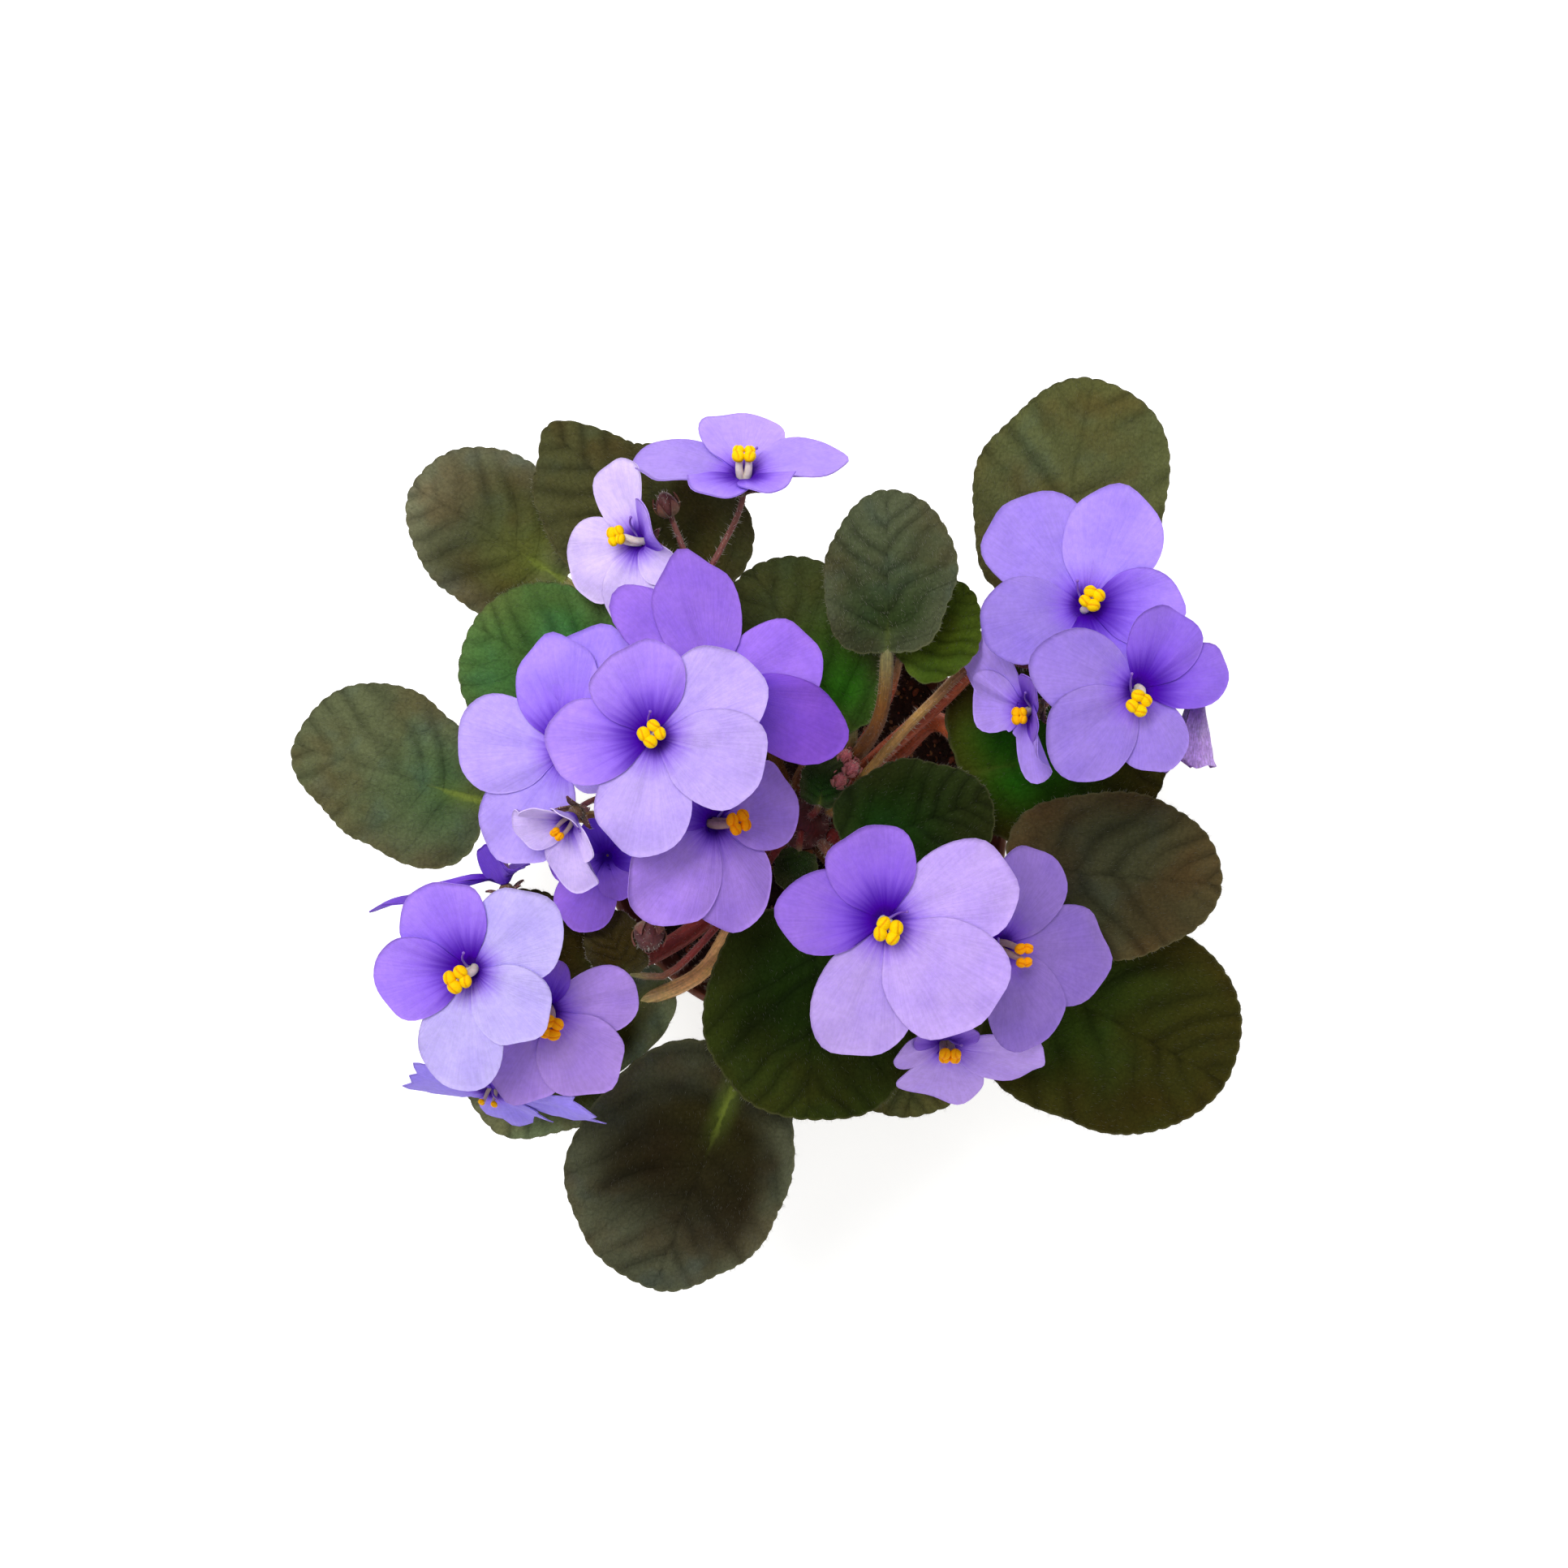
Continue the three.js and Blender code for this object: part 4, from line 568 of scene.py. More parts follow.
class Shape:
    """Closed shells in millimetres, with the surface values that the materials read: a place on
    the piece, and a tint whose fourth number each material uses in its own way."""

    def __init__(self):
        self.points = []
        self.places = []
        self.tints = []
        self.faces = []
        self.finishes = []
        self.count = 0

    def add(self, points, faces, finishes, place, tint):
        """Adds points with their place and tint, and groups of faces with a finish for each group."""
        points = rows_of(points, 3)
        self.points.append(points)
        self.places.append(np.broadcast_to(rows_of(place, 3), (len(points), 3)))
        self.tints.append(np.broadcast_to(rows_of(tint, 4), (len(points), 4)))
        for group, finish in zip(faces, finishes):
            self.faces.append(group + self.count)
            self.finishes.append(np.full(len(group), finish))
        self.count += len(points)

    def sheet(self, upper, lower, wrap, finishes, place, tint, lower_place=None, lower_tint=None):
        """A thin closed sheet between two grids that share their outline: the whole border, or the
        last row where the grids wrap round a middle point, which is their first row. finishes are
        those of the upper face, the lower face and the border."""
        rows, columns = upper.shape[:2]
        lower_start = rows * columns
        top = grid_faces(rows, columns, wrap)
        bottom = grid_faces(len(lower), columns, wrap)[:, ::-1] + lower_start
        if wrap:
            around = np.arange(columns)
            top = top[columns:]
            bottom = bottom[columns:]
            top_fan = ring_fan(0, columns + around, turned=True)
            bottom_fan = ring_fan(lower_start, lower_start + columns + around)
            border = lower_start - columns + around
            lower_border = lower_start + (len(lower) - 1) * columns + around
        else:
            index = np.arange(lower_start).reshape(rows, columns)
            border = np.concatenate([index[0, :-1], index[:-1, -1], index[-1, :0:-1], index[:0:-1, 0]])
            lower_border = border + lower_start
            top_fan = bottom_fan = np.zeros((0, 3), int)
        band = np.stack([border, np.roll(border, -1), np.roll(lower_border, -1), lower_border], axis=1)
        if wrap:
            band = band[:, ::-1]
        lower_place = place if lower_place is None else lower_place
        lower_tint = tint if lower_tint is None else lower_tint
        self.add(np.concatenate([rows_of(upper, 3), rows_of(lower, 3)]),
                 (top, top_fan, bottom, bottom_fan, band),
                 (finishes[0], finishes[0], finishes[1], finishes[1], finishes[2]),
                 np.concatenate([rows_of(place, 3), rows_of(lower_place, 3)]),
                 np.concatenate([rows_of(tint, 4), rows_of(lower_tint, 4)]))

    def leaflet(self, middle, half, place, tint):
        """A thin sheet of stalk tissue, half as thick on each side of its middle points."""
        way = half * grid_normals(middle)
        self.sheet(middle + way, middle - way, False, (STALK,) * 3, place, tint)

    def tube(self, route, radii, sides, tint, finish, swell=0.0, seed=0):
        """A closed round stalk along a route, with a rounded end at each side."""
        tangents, normals, others = route_sides(route)
        around = np.arange(sides)
        angles = full_turn(sides)
        ring = np.cos(angles)[:, None] * normals[:, None] + np.sin(angles)[:, None] * others[:, None]
        radii = np.broadcast_to(np.asarray(radii, float), (len(route),))
        widths = radii[:, None] * np.ones(sides)
        if swell:
            widths = widths * (1 + swell * ripple(route[:, None] + ring * 2, 5, seed))
        grid = route[:, None] + ring * widths[..., None]
        start = route[0] - tangents[0] * radii[0] * TUBE_ENDS[0]
        end = route[-1] + tangents[-1] * radii[-1] * TUBE_ENDS[1]
        count = len(route) * sides
        faces = (grid_faces(len(route), sides, True), ring_fan(count, around, turned=True),
                 ring_fan(count + 1, count - sides + around))
        along = np.linspace(0, 1, len(route))[:, None]
        place = np.stack(np.broadcast_arrays(along, angles / (2 * np.pi), radii[:, None]), axis=-1)
        tint = np.broadcast_to(rows_of(tint, 4), (len(route), 4))
        self.add(np.concatenate([rows_of(grid, 3), [start, end]]), faces, (finish,) * 3,
                 np.concatenate([rows_of(place, 3), place[0, :1], place[-1, :1]]),
                 np.concatenate([np.repeat(tint, sides, axis=0), tint[:1], tint[-1:]]))

    def shell(self, grid, place, tint, finish):
        """A closed shell from a grid of points that goes all round, each end row drawn together
        to one point."""
        rows, columns = grid.shape[:2]
        around = np.arange(columns)
        last = 1 + (rows - 2) * columns
        faces = (grid_faces(rows - 2, columns, True) + 1, ring_fan(0, 1 + around, turned=True),
                 ring_fan(last, last - columns + around))
        points, places = (np.concatenate([values[0, :1], rows_of(values[1:-1], 3), values[-1, :1]])
                          for values in (grid, place))
        self.add(points, faces, (finish,) * 3, places, tint)

    def hairs(self, roots, ways, lengths, rng, radius=HAIR_RADIUS, tint=HAIR_PALE):
        """Fine three-sided spikes, each closed at its foot and sunk a little."""
        ways = unit(ways)
        first = unit(np.cross(ways, rng.normal(size=ways.shape)))
        second = np.cross(ways, first)
        feet = [roots - ways * HAIR_SINK + radius * (math.cos(a) * first + math.sin(a) * second)
                for a in full_turn(3)]
        tips = roots + ways * np.asarray(lengths)[:, None]
        faces = np.array([[0, 1, 3], [1, 2, 3], [2, 0, 3], [0, 2, 1]])
        faces = (faces[None] + 4 * np.arange(len(roots))[:, None, None]).reshape(-1, 3)
        self.add(np.stack([*feet, tips], axis=1), (faces,), (HAIR,), (0, 0, 0), tint)

    def tube_hairs(self, route, radii, count, rng, length, tint=HAIR_PALE):
        """Hairs all round a stalk, leaning along it."""
        tangents, normals, others = route_sides(route)
        spot = rng.uniform(0, len(route) - 1.001, count)
        index = spot.astype(int)
        share = (spot - index)[:, None]
        angle = rng.uniform(0, 2 * np.pi, count)[:, None]
        outward = np.cos(angle) * normals[index] + np.sin(angle) * others[index]
        centre = mix(route[index], route[index + 1], share)
        radius = mix(radii[index], radii[index + 1], share[:, 0])[:, None]
        ways = outward + HAIR_LEAN * tangents[index] + 0.25 * rng.normal(size=outward.shape)
        lengths = length * rng.uniform(0.5, 1.15, count)
        self.hairs(centre + outward * radius, ways, lengths, rng, STALK_HAIR_RADIUS, tint)


class Graph:
    """A material and short ways to add nodes to it. A value is a socket or a plain number."""

    def __init__(self, name, **shader):
        self.material = bpy.data.materials.new(name)
        self.material.use_nodes = True
        self.tree = self.material.node_tree
        self.shader = self.tree.nodes["Principled BSDF"]
        for key, value in shader.items():
            self.shader.inputs[key.replace("_", " ")].default_value = value

    def feed(self, socket, value):
        if isinstance(value, bpy.types.NodeSocket):
            self.tree.links.new(value, socket)
        else:
            socket.default_value = value

    def node(self, kind, inputs, **settings):
        node = self.tree.nodes.new(kind)
        for key, value in settings.items():
            setattr(node, key, value)
        for key, value in inputs.items():
            self.feed(node.inputs[key], value)
        return node

    def math(self, operation, *values):
        return self.node("ShaderNodeMath", dict(enumerate(values)), operation=operation).outputs[0]

    def add(self, *values):
        total = values[0]
        for value in values[1:]:
            total = self.math("ADD", total, value)
        return total

    def multiply(self, *values):
        product = values[0]
        for value in values[1:]:
            product = self.math("MULTIPLY", product, value)
        return product

    def step(self, value, low, high, start=0.0, end=1.0):
        """Runs smoothly from start to end as the value goes from low to high."""
        inputs = {"Value": value, "From Min": low, "From Max": high, "To Min": start, "To Max": end}
        return self.node("ShaderNodeMapRange", inputs, interpolation_type="SMOOTHSTEP").outputs[0]

    def mix(self, share, a, b, mode="MIX"):
        node = self.node("ShaderNodeMix", {0: share, 6: a, 7: b}, data_type="RGBA", blend_type=mode)
        return node.outputs[2]

    def cast(self, share, colour, factors):
        """A colour with its red, green and blue multiplied by factors, as far as share says."""
        return self.mix(share, colour, (*factors, 1), "MULTIPLY")

    def scale_colour(self, colour, factor):
        """A colour made lighter or darker by a number."""
        vector = self.node("ShaderNodeVectorMath", {0: colour, "Scale": factor}, operation="SCALE")
        return vector.outputs[0]

    def dim(self, colour, *values):
        """A colour made lighter by the product of values, or darker where that is below 0."""
        return self.scale_colour(colour, self.add(1, self.multiply(*values)))

    def shade(self, colour, noise, start, end):
        """A colour made lighter or darker by a noise."""
        return self.scale_colour(colour, self.step(noise, *NOISE_RANGE, start, end))

    def surface(self):
        """The point's place on its piece, as three numbers, and its tint and the tint's fourth number."""
        place = self.node("ShaderNodeAttribute", {}, attribute_name="place").outputs["Vector"]
        parts = self.node("ShaderNodeSeparateXYZ", {0: place}).outputs
        tint = self.node("ShaderNodeAttribute", {}, attribute_name="tint").outputs
        return parts[0], parts[1], parts[2], tint["Color"], tint["Alpha"]

    def position(self):
        return self.node("ShaderNodeTexCoord", {}).outputs["Object"]

    def vector(self, x, y, z=0.0):
        return self.node("ShaderNodeCombineXYZ", {0: x, 1: y, 2: z}).outputs[0]

    def noise(self, vector, scale, detail=2.0, roughness=0.5):
        inputs = {"Vector": vector, "Scale": scale, "Detail": detail, "Roughness": roughness}
        return self.node("ShaderNodeTexNoise", inputs).outputs["Fac"]

    def cell_edges(self, vector, scale):
        inputs = {"Vector": vector, "Scale": scale}
        return self.node("ShaderNodeTexVoronoi", inputs, feature="DISTANCE_TO_EDGE").outputs["Distance"]

    def tint(self):
        return self.surface()[3]

    def colour(self, value):
        self.feed(self.shader.inputs["Base Color"], value)

    def roughness(self, noise, start, end):
        """A roughness that goes from start to end with a noise."""
        self.feed(self.shader.inputs["Roughness"], self.step(noise, *NOISE_RANGE, start, end))

    def relief(self, height, depth, strength):
        """Bends the shading by a height field, whose full range stands for depth millimetres."""
        inputs = {"Height": height, "Distance": depth * MM, "Strength": strength}
        self.feed(self.shader.inputs["Normal"], self.node("ShaderNodeBump", inputs).outputs[0])


def vein_root(along, across):
    """Where on the midrib the side vein through a point starts, as a share of the blade's length.
    along and across are the point's distances as shares of that length."""
    side = np.abs(across)
    sweep = side * (1 + VEIN_CURVE * side)
    return (along - VEIN_LEAN[0] * sweep) / (1 + (VEIN_LEAN[1] - VEIN_LEAN[0]) * sweep)


def vein_nodes(graph, along, across):
    """The same in a material, as the distance from the midrib, a line that is 1 on a side vein and
    the distance from that vein."""
    side = graph.math("ABSOLUTE", across)
    sweep = graph.multiply(side, graph.math("MULTIPLY_ADD", side, VEIN_CURVE, 1.0))
    root = graph.math("DIVIDE", graph.math("SUBTRACT", along, graph.multiply(sweep, VEIN_LEAN[0])),
                      graph.math("MULTIPLY_ADD", sweep, VEIN_LEAN[1] - VEIN_LEAN[0], 1.0))
    offset = graph.multiply(graph.math("SIGN", across), VEIN_SIDE_SHIFT)
    wobble = graph.multiply(graph.noise(graph.position(), 90, 2), 0.16)
    phase = graph.add(graph.multiply(root, VEIN_PAIRS), graph.add(offset, wobble))
    distance = graph.math("PINGPONG", phase, 0.5)
    return side, graph.step(distance, 0.015, 0.1, 1, 0), distance


def leaf_skin():
    """The face of a leaf: mottled green with brown and grey patches, painted shade in the furrows over
    its veins and painted light on the cushions between them, a fine net between the veins, pale
    strokes of hair, a line of painted shade in the midrib's groove and a midrib that fades towards
    the tip."""
    graph = Graph("leaf_skin", Specular_IOR_Level=0.04, Sheen_Weight=0.02, Sheen_Roughness=0.5,
                  Sheen_Tint=srgb(214, 222, 190))
    along, across, reach, tint, rib = graph.surface()
    position = graph.position()
    side, line, distance = vein_nodes(graph, along, across)
    net = graph.step(graph.cell_edges(position, 520), 0.0, 0.2, 1, 0)
    patches = graph.noise(position, 70, 3)
    grain = graph.noise(position, 1500, 2, 0.7)
    combed = graph.vector(graph.multiply(along, 26), graph.multiply(across, 190))
    strokes = graph.noise(combed, 1, 2, 0.6)
    colour = graph.cast(graph.step(patches, 0.44, 0.66, 0, 0.6), tint, (1.22, 0.88, 0.75))
    grey = graph.step(graph.noise(position, 110, 2), 0.5, 0.72, 0, 0.6)
    colour = graph.cast(grey, colour, (0.96, 1.1, 1.5))
    colour = graph.shade(colour, patches, 1.1, 0.92)
    uneven = graph.step(graph.noise(position, 85, 2), 0.36, 0.64, 0.15, 1)
    # painted shade and light: darker in the furrows over the veins and along each vein line, lighter on
    # the cushions between them
    colour = graph.dim(colour, uneven, graph.step(distance, 0.0, 0.42, -0.28, 0.12))
    colour = graph.dim(colour, uneven, line, -0.08)
    colour = graph.dim(colour, net, -0.07)
    colour = graph.shade(colour, grain, 0.88, 1.12)
    colour = graph.cast(graph.step(strokes, 0.5, 0.75, 0, 0.8), colour, (1.25, 1.25, 1.4))
    # painted shade: a dark line along the midrib, where its groove lies
    colour = graph.dim(colour, graph.step(side, 0.004, 0.016, 1, 0), -0.15)
    near_foot = graph.multiply(graph.step(side, 0.01, 0.09, 0.7, 0), graph.step(along, 0.0, 0.3, 1, 0))
    colour = graph.mix(graph.multiply(near_foot, rib), colour, RIB_GLOW)
    ragged = graph.step(graph.noise(position, 330, 2), *NOISE_RANGE, 0.4, 1.3)
    width = graph.multiply(graph.step(along, 0, 0.4, 0.018, 0.006), ragged)
    middle = graph.step(graph.math("DIVIDE", side, width), 0.2, 1.7, 1, 0)
    fade = graph.step(along, 0.02, 0.34, 0.75, 0)
    colour = graph.mix(graph.multiply(middle, fade, rib, 0.7), colour, RIB_GREEN)
    graph.colour(graph.mix(graph.step(reach, 0.972, 0.998, 0, 0.18), colour, LEAF_RIM))
    graph.roughness(grain, 0.76, 0.6)
    graph.relief(graph.add(graph.multiply(net, -0.35), graph.multiply(line, -0.5),
                           graph.multiply(grain, 0.5), graph.multiply(strokes, 0.3)), 0.35, 0.7)
    return graph.material


def leaf_back():
    """The back of a leaf: paler, with a reddish blush and veins that stand out."""
    graph = Graph("leaf_back", Specular_IOR_Level=0.25, Sheen_Weight=0.15, Sheen_Roughness=0.5)
    along, across, _, tint, _ = graph.surface()
    position = graph.position()
    side, line, _ = vein_nodes(graph, along, across)
    net = graph.step(graph.cell_edges(position, 430), 0.0, 0.12, 1, 0)
    blush = graph.step(graph.noise(position, 80, 2), 0.4, 0.7, 0, 0.5)
    colour = graph.mix(blush, tint, srgb(140, 96, 88))
    colour = graph.mix(graph.multiply(line, 0.6), colour, srgb(176, 176, 128))
    colour = graph.mix(graph.multiply(net, 0.25), colour, srgb(160, 166, 120))
    graph.colour(graph.mix(graph.step(side, 0.008, 0.035, 0.7, 0), colour, srgb(178, 150, 112)))
    graph.roughness(graph.noise(position, 1800, 2), 0.7, 0.55)
    graph.relief(graph.add(graph.multiply(line, 0.6), graph.multiply(net, 0.35)), 0.3, 0.6)
    return graph.material


def stalk_skin():
    """Fleshy stalk tissue, streaked lengthwise."""
    graph = Graph("stalk_skin", Specular_IOR_Level=0.3, Sheen_Weight=0.12, Sheen_Roughness=0.4,
                  Subsurface_Weight=0.08, Subsurface_Scale=0.001)
    along, around, _, tint, _ = graph.surface()
    position = graph.position()
    drawn = graph.vector(graph.multiply(along, 6), graph.multiply(around, 14))
    streaks = graph.noise(drawn, 1.5, 3)
    grain = graph.noise(position, 1400, 2)
    green = graph.step(graph.noise(position, 160, 2), 0.45, 0.7, 0, 0.7)
    colour = graph.cast(green, tint, (1.1, 1.3, 1.0))
    colour = graph.shade(colour, streaks, 0.75, 1.25)
    graph.colour(graph.shade(colour, grain, 0.85, 1.15))
    graph.roughness(grain, 0.6, 0.42)
    graph.relief(graph.add(streaks, graph.multiply(grain, 0.6)), 0.18, 0.6)
    return graph.material


def hair_skin():
    """Hairs in the tint that each was given, a little uneven."""
    graph = Graph("hair_skin", Roughness=0.5, Specular_IOR_Level=0.35)
    graph.colour(graph.shade(graph.tint(), graph.noise(graph.position(), 300, 1), 0.82, 1.08))
    return graph.material


def petal_skin(name, is_back):
    """A petal: rays from the throat, a dark eye round it and a fine glitter. The surface values
    are how far out a point is, where it lies across its lobe, how near the margin, and the reach
    of the eye."""
    graph = Graph(name, Specular_IOR_Level=0.06, Sheen_Weight=0.02, Sheen_Roughness=0.35,
                  Sheen_Tint=srgb(226, 214, 255), Subsurface_Weight=0.12, Subsurface_Scale=0.0012,
                  Subsurface_Radius=(0.7, 0.5, 1.0))
    out, offset, edge, tint, zone = graph.surface()
    position = graph.position()
    broad = graph.vector(graph.multiply(offset, 5), graph.multiply(out, 0.9))
    narrow = graph.vector(graph.multiply(offset, 30), graph.multiply(out, 2.2))
    ray = graph.noise(broad, 1.6, 2, 0.5)
    fine_ray = graph.noise(narrow, 1.2, 2, 0.5)
    ratio = graph.math("DIVIDE", out, graph.multiply(zone, graph.step(ray, 0.25, 0.75, 0.9, 1.1)))
    colour = graph.shade(tint, fine_ray, 0.96, 1.04)
    colour = graph.shade(colour, graph.noise(position, 900, 2, 0.6), 0.95, 1.05)
    cloud = graph.step(graph.noise(position, 130, 2), 0.35, 0.7, 0, 0.7)
    colour = graph.cast(cloud, colour, (0.86, 0.83, 0.98))
    colour = graph.mix(graph.step(ratio, 0.5, 1.7, 0.85, 0), colour, EYE_OUTER)
    colour = graph.mix(graph.step(ratio, 0.3, 1.02, 1, 0), colour, EYE_INNER)
    colour = graph.mix(graph.step(out, 0.09, 0.18, 0.45, 0), colour, EYE_MIDDLE)
    colour = graph.cast(graph.step(edge, 0.8, 1.0, 0, 0.3), colour, (1.08, 1.1, 1.0))
    if is_back:
        colour = graph.mix(0.45, colour, PETAL_BACK)
    graph.colour(colour)
    sparkle = graph.noise(position, 2600, 2, 0.7)
    graph.roughness(sparkle, 0.66, 0.5)
    graph.relief(graph.add(graph.multiply(fine_ray, 0.8), graph.multiply(sparkle, 0.6),
                           graph.multiply(ray, 1.2)), 0.2, 0.5)
    return graph.material


def anther_skin():
    """Waxy pollen sacs, with painted shade that makes their furrows more orange and painted highlights
    that make patches paler.
    """
    graph = Graph("anther_skin", Roughness=0.6, Specular_IOR_Level=0.08, Subsurface_Weight=0.05,
                  Subsurface_Scale=0.0006)
    _, _, furrow_shade, tint, _ = graph.surface()
    position = graph.position()
    grain = graph.noise(position, 3200, 2, 0.8)
    # painted shade: the furrows between the halves turn a deeper orange
    colour = graph.cast(graph.step(furrow_shade, 0.0, 1.0, 0, 0.8), tint, (0.8, 0.45, 0.2))
    # painted highlights: paler patches on the pollen
    pale = graph.step(graph.noise(position, 500, 2), 0.45, 0.7, 0, 0.6)
    colour = graph.cast(pale, colour, (1, 1.22, 1.6))
    graph.colour(graph.shade(colour, grain, 0.9, 1.08))
    graph.relief(grain, 0.12, 0.6)
    return graph.material


def filament_skin():
    """Smooth pale tissue of filaments and styles."""
    graph = Graph("filament_skin", Specular_IOR_Level=0.4, Subsurface_Weight=0.15, Subsurface_Scale=0.001)
    grain = graph.noise(graph.position(), 1500, 2)
    graph.colour(graph.shade(graph.tint(), grain, 0.9, 1.06))
    graph.roughness(grain, 0.55, 0.4)
    graph.relief(grain, 0.1, 0.4)
    return graph.material


def soil_skin():
    """Dark compost with lighter clods."""
    graph = Graph("soil_skin", Specular_IOR_Level=0.3)
    position = graph.position()
    grain = graph.noise(position, 1100, 4, 0.7)
    clods = graph.noise(position, 260, 3)
    colour = graph.shade(graph.tint(), grain, 0.55, 1.35)
    graph.colour(graph.mix(graph.step(clods, 0.58, 0.72, 0, 0.6), colour, srgb(92, 44, 30)))
    graph.roughness(clods, 0.95, 0.72)
    graph.relief(graph.add(grain, clods), 0.5, 0.9)
    return graph.material


def pot_skin():
    """Moulded brown plastic, cloudy, scuffed round its wall, lighter towards its foot and on its rim."""
    graph = Graph("pot_skin", Specular_IOR_Level=0.5)
    position = graph.position()
    height = graph.node("ShaderNodeSeparateXYZ", {0: position}).outputs[2]
    cloud = graph.noise(position, 45, 4)
    speck = graph.noise(position, 900, 3, 0.7)
    flattened = graph.node("ShaderNodeMapping", {"Vector": position, "Scale": (1, 1, 6)}).outputs[0]
    scuff = graph.noise(flattened, 220, 3)
    colour = graph.mix(graph.step(cloud, 0.35, 0.65), srgb(104, 52, 40), srgb(84, 40, 32))
    colour = graph.scale_colour(colour, graph.step(speck, 0.35, 0.65, 0.92, 1.08))
    colour = graph.mix(graph.step(scuff, 0.62, 0.74, 0, 0.3), colour, srgb(150, 108, 92))
    colour = graph.mix(graph.step(height, 0.0, 0.014, 0.35, 0), colour, srgb(120, 92, 76))
    graph.colour(graph.mix(graph.step(height, 0.0775, 0.0802, 0, 0.4), colour, srgb(150, 96, 80)))
    graph.roughness(graph.add(graph.multiply(cloud, 0.5), graph.multiply(scuff, 0.5)), 0.36, 0.6)
    graph.relief(graph.add(graph.multiply(speck, 0.4), graph.multiply(scuff, 0.3)), 0.12, 0.4)
    return graph.material


SKIN = {
    "leaf": leaf_skin(),
    "leaf_back": leaf_back(),
    "stalk": stalk_skin(),
    "hair": hair_skin(),
    "petal": petal_skin("petal_skin", False),
    "petal_back": petal_skin("petal_back", True),
    "anther": anther_skin(),
    "filament": filament_skin(),
    "soil": soil_skin(),
    "pot": pot_skin(),
}


def make_piece(name, shape, node, skins):
    """The mesh object of a shape, which stands for its node."""
    sizes = np.concatenate([np.full(len(group), group.shape[1]) for group in shape.faces])
    corners = np.concatenate([group.ravel() for group in shape.faces])
    mesh = bpy.data.meshes.new(name)
    mesh.vertices.add(shape.count)
    mesh.vertices.foreach_set("co", (np.concatenate(shape.points) * MM).ravel())
    mesh.loops.add(len(corners))
    mesh.loops.foreach_set("vertex_index", corners.astype(np.int32))
    mesh.polygons.add(len(sizes))
    mesh.polygons.foreach_set("loop_start", (np.cumsum(sizes) - sizes).astype(np.int32))
    mesh.polygons.foreach_set("material_index", np.concatenate(shape.finishes).astype(np.int32))
    mesh.polygons.foreach_set("use_smooth", np.ones(len(sizes), bool))
    mesh.update(calc_edges=True)
    place = mesh.attributes.new("place", "FLOAT_VECTOR", "POINT")
    place.data.foreach_set("vector", np.concatenate(shape.places).ravel())
    tint = mesh.attributes.new("tint", "FLOAT_COLOR", "POINT")
    tint.data.foreach_set("color", np.concatenate(shape.tints).ravel())
    for skin in skins:
        mesh.materials.append(SKIN[skin])
    piece = bpy.data.objects.new(name, mesh)
    bpy.context.scene.collection.objects.link(piece)
    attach(piece, "root")
    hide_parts(node)
    return piece


class BladeFrame:
    """A leaf's own frame: along its midrib, across it to the left, and up out of the blade."""

    def __init__(self, leaf):
        self.base = np.array(leaf["base"], float)
        span = np.array(leaf["tip"], float) - self.base
        self.length = np.linalg.norm(span)
        self.along = span / self.length
        level = unit(np.cross(UP, self.along))
        roll = math.radians(leaf.get("roll", 0))
        self.across = level * math.cos(roll) + np.cross(self.along, level) * math.sin(roll)
        self.up = np.cross(self.along, self.across)
        self.axes = (self.along, self.across, self.up)


def blade_reach(leaf, length, angle):
    """How far the blade reaches from its middle at an angle from the tip's direction: an oval with
    two lobes beside the stalk, a notch between them and a blunt point, plus the leaf's bulges."""
    power = BLADE_OVAL_POWER
    oval = ((np.abs(np.cos(angle)) / (length / 2)) ** power
            + (np.abs(np.sin(angle)) / (leaf["width"] / 2)) ** power) ** (-1 / power)
    from_base = np.pi - np.abs(angle)
    ear_lobes = EAR_SIZE * bump(from_base - EAR_BEARING, 0.35)
    notch = NOTCH_SIZE * bump(from_base, 0.16)
    tip_point = leaf.get("point", TIP_POINT) * bump(angle, 0.24)
    reach = oval * (1 + ear_lobes - notch + tip_point)
    bulge = leaf.get("bulge", (0,))
    for index, size in enumerate(bulge):
        turn = (angle - 2 * np.pi * index / len(bulge) + np.pi) % (2 * np.pi) - np.pi
        reach = reach + size * (1 + np.cos(np.clip(turn * len(bulge) / 2, -np.pi, np.pi))) / 2
    return reach


def half_way_round(leaf, length):
    """About half the way round a blade's margin, as if it were a circle of its middling width."""
    return np.pi * (length + leaf["width"]) / 2


def joint_share(leaf, length):
    """Where the stalk joins, as a share of the reach behind the middle."""
    return min(1, length / 2 / blade_reach(leaf, length, np.array(np.pi)))


def blade_height(leaf, share, side, angle, reach):
    """Height of the blade over its plane: arch lifts the middle of the midrib, cup both margins,
    fold makes a V along it, and wave ripples the margin."""
    return (leaf.get("arch", 0) * 4 * share * (1 - share)
            + leaf.get("cup", 0) * side**2
            + leaf.get("fold", 0) * (np.sqrt(side**2 + 0.02) - 0.14)
            + leaf.get("wave", 0.5) * reach**3 * np.sin(BLADE_WAVES * angle + leaf["width"]))


def blade_surface(leaf, blade, reach, angle):
    """Points of the blade's middle surface, and their distances along and across it."""
    teeth = max(12, round(half_way_round(leaf, blade.length) / TOOTH_LENGTH))
    tooth = TOOTH_DEPTH * (2 * np.abs(np.sin(teeth * angle / 2)) ** 0.7 - 1.3) * reach**10
    radius = reach * blade_reach(leaf, blade.length, angle) + tooth
    along = blade.length / 2 + radius * np.cos(angle)
    across = radius * np.sin(angle)
    height = blade_height(leaf, along / blade.length, across / (leaf["width"] / 2), angle, reach)
    return from_axes(blade.base, blade.axes, along, across, height), along, across


def bent_along(blade, along, across, seed):
    """The distance along a blade, bent a little so that its veins don't run evenly."""
    size = 0.4 * blade.length
    return along + 0.05 * blade.length * flat_ripple(along, across, 5 * seed, size, seed + 90)


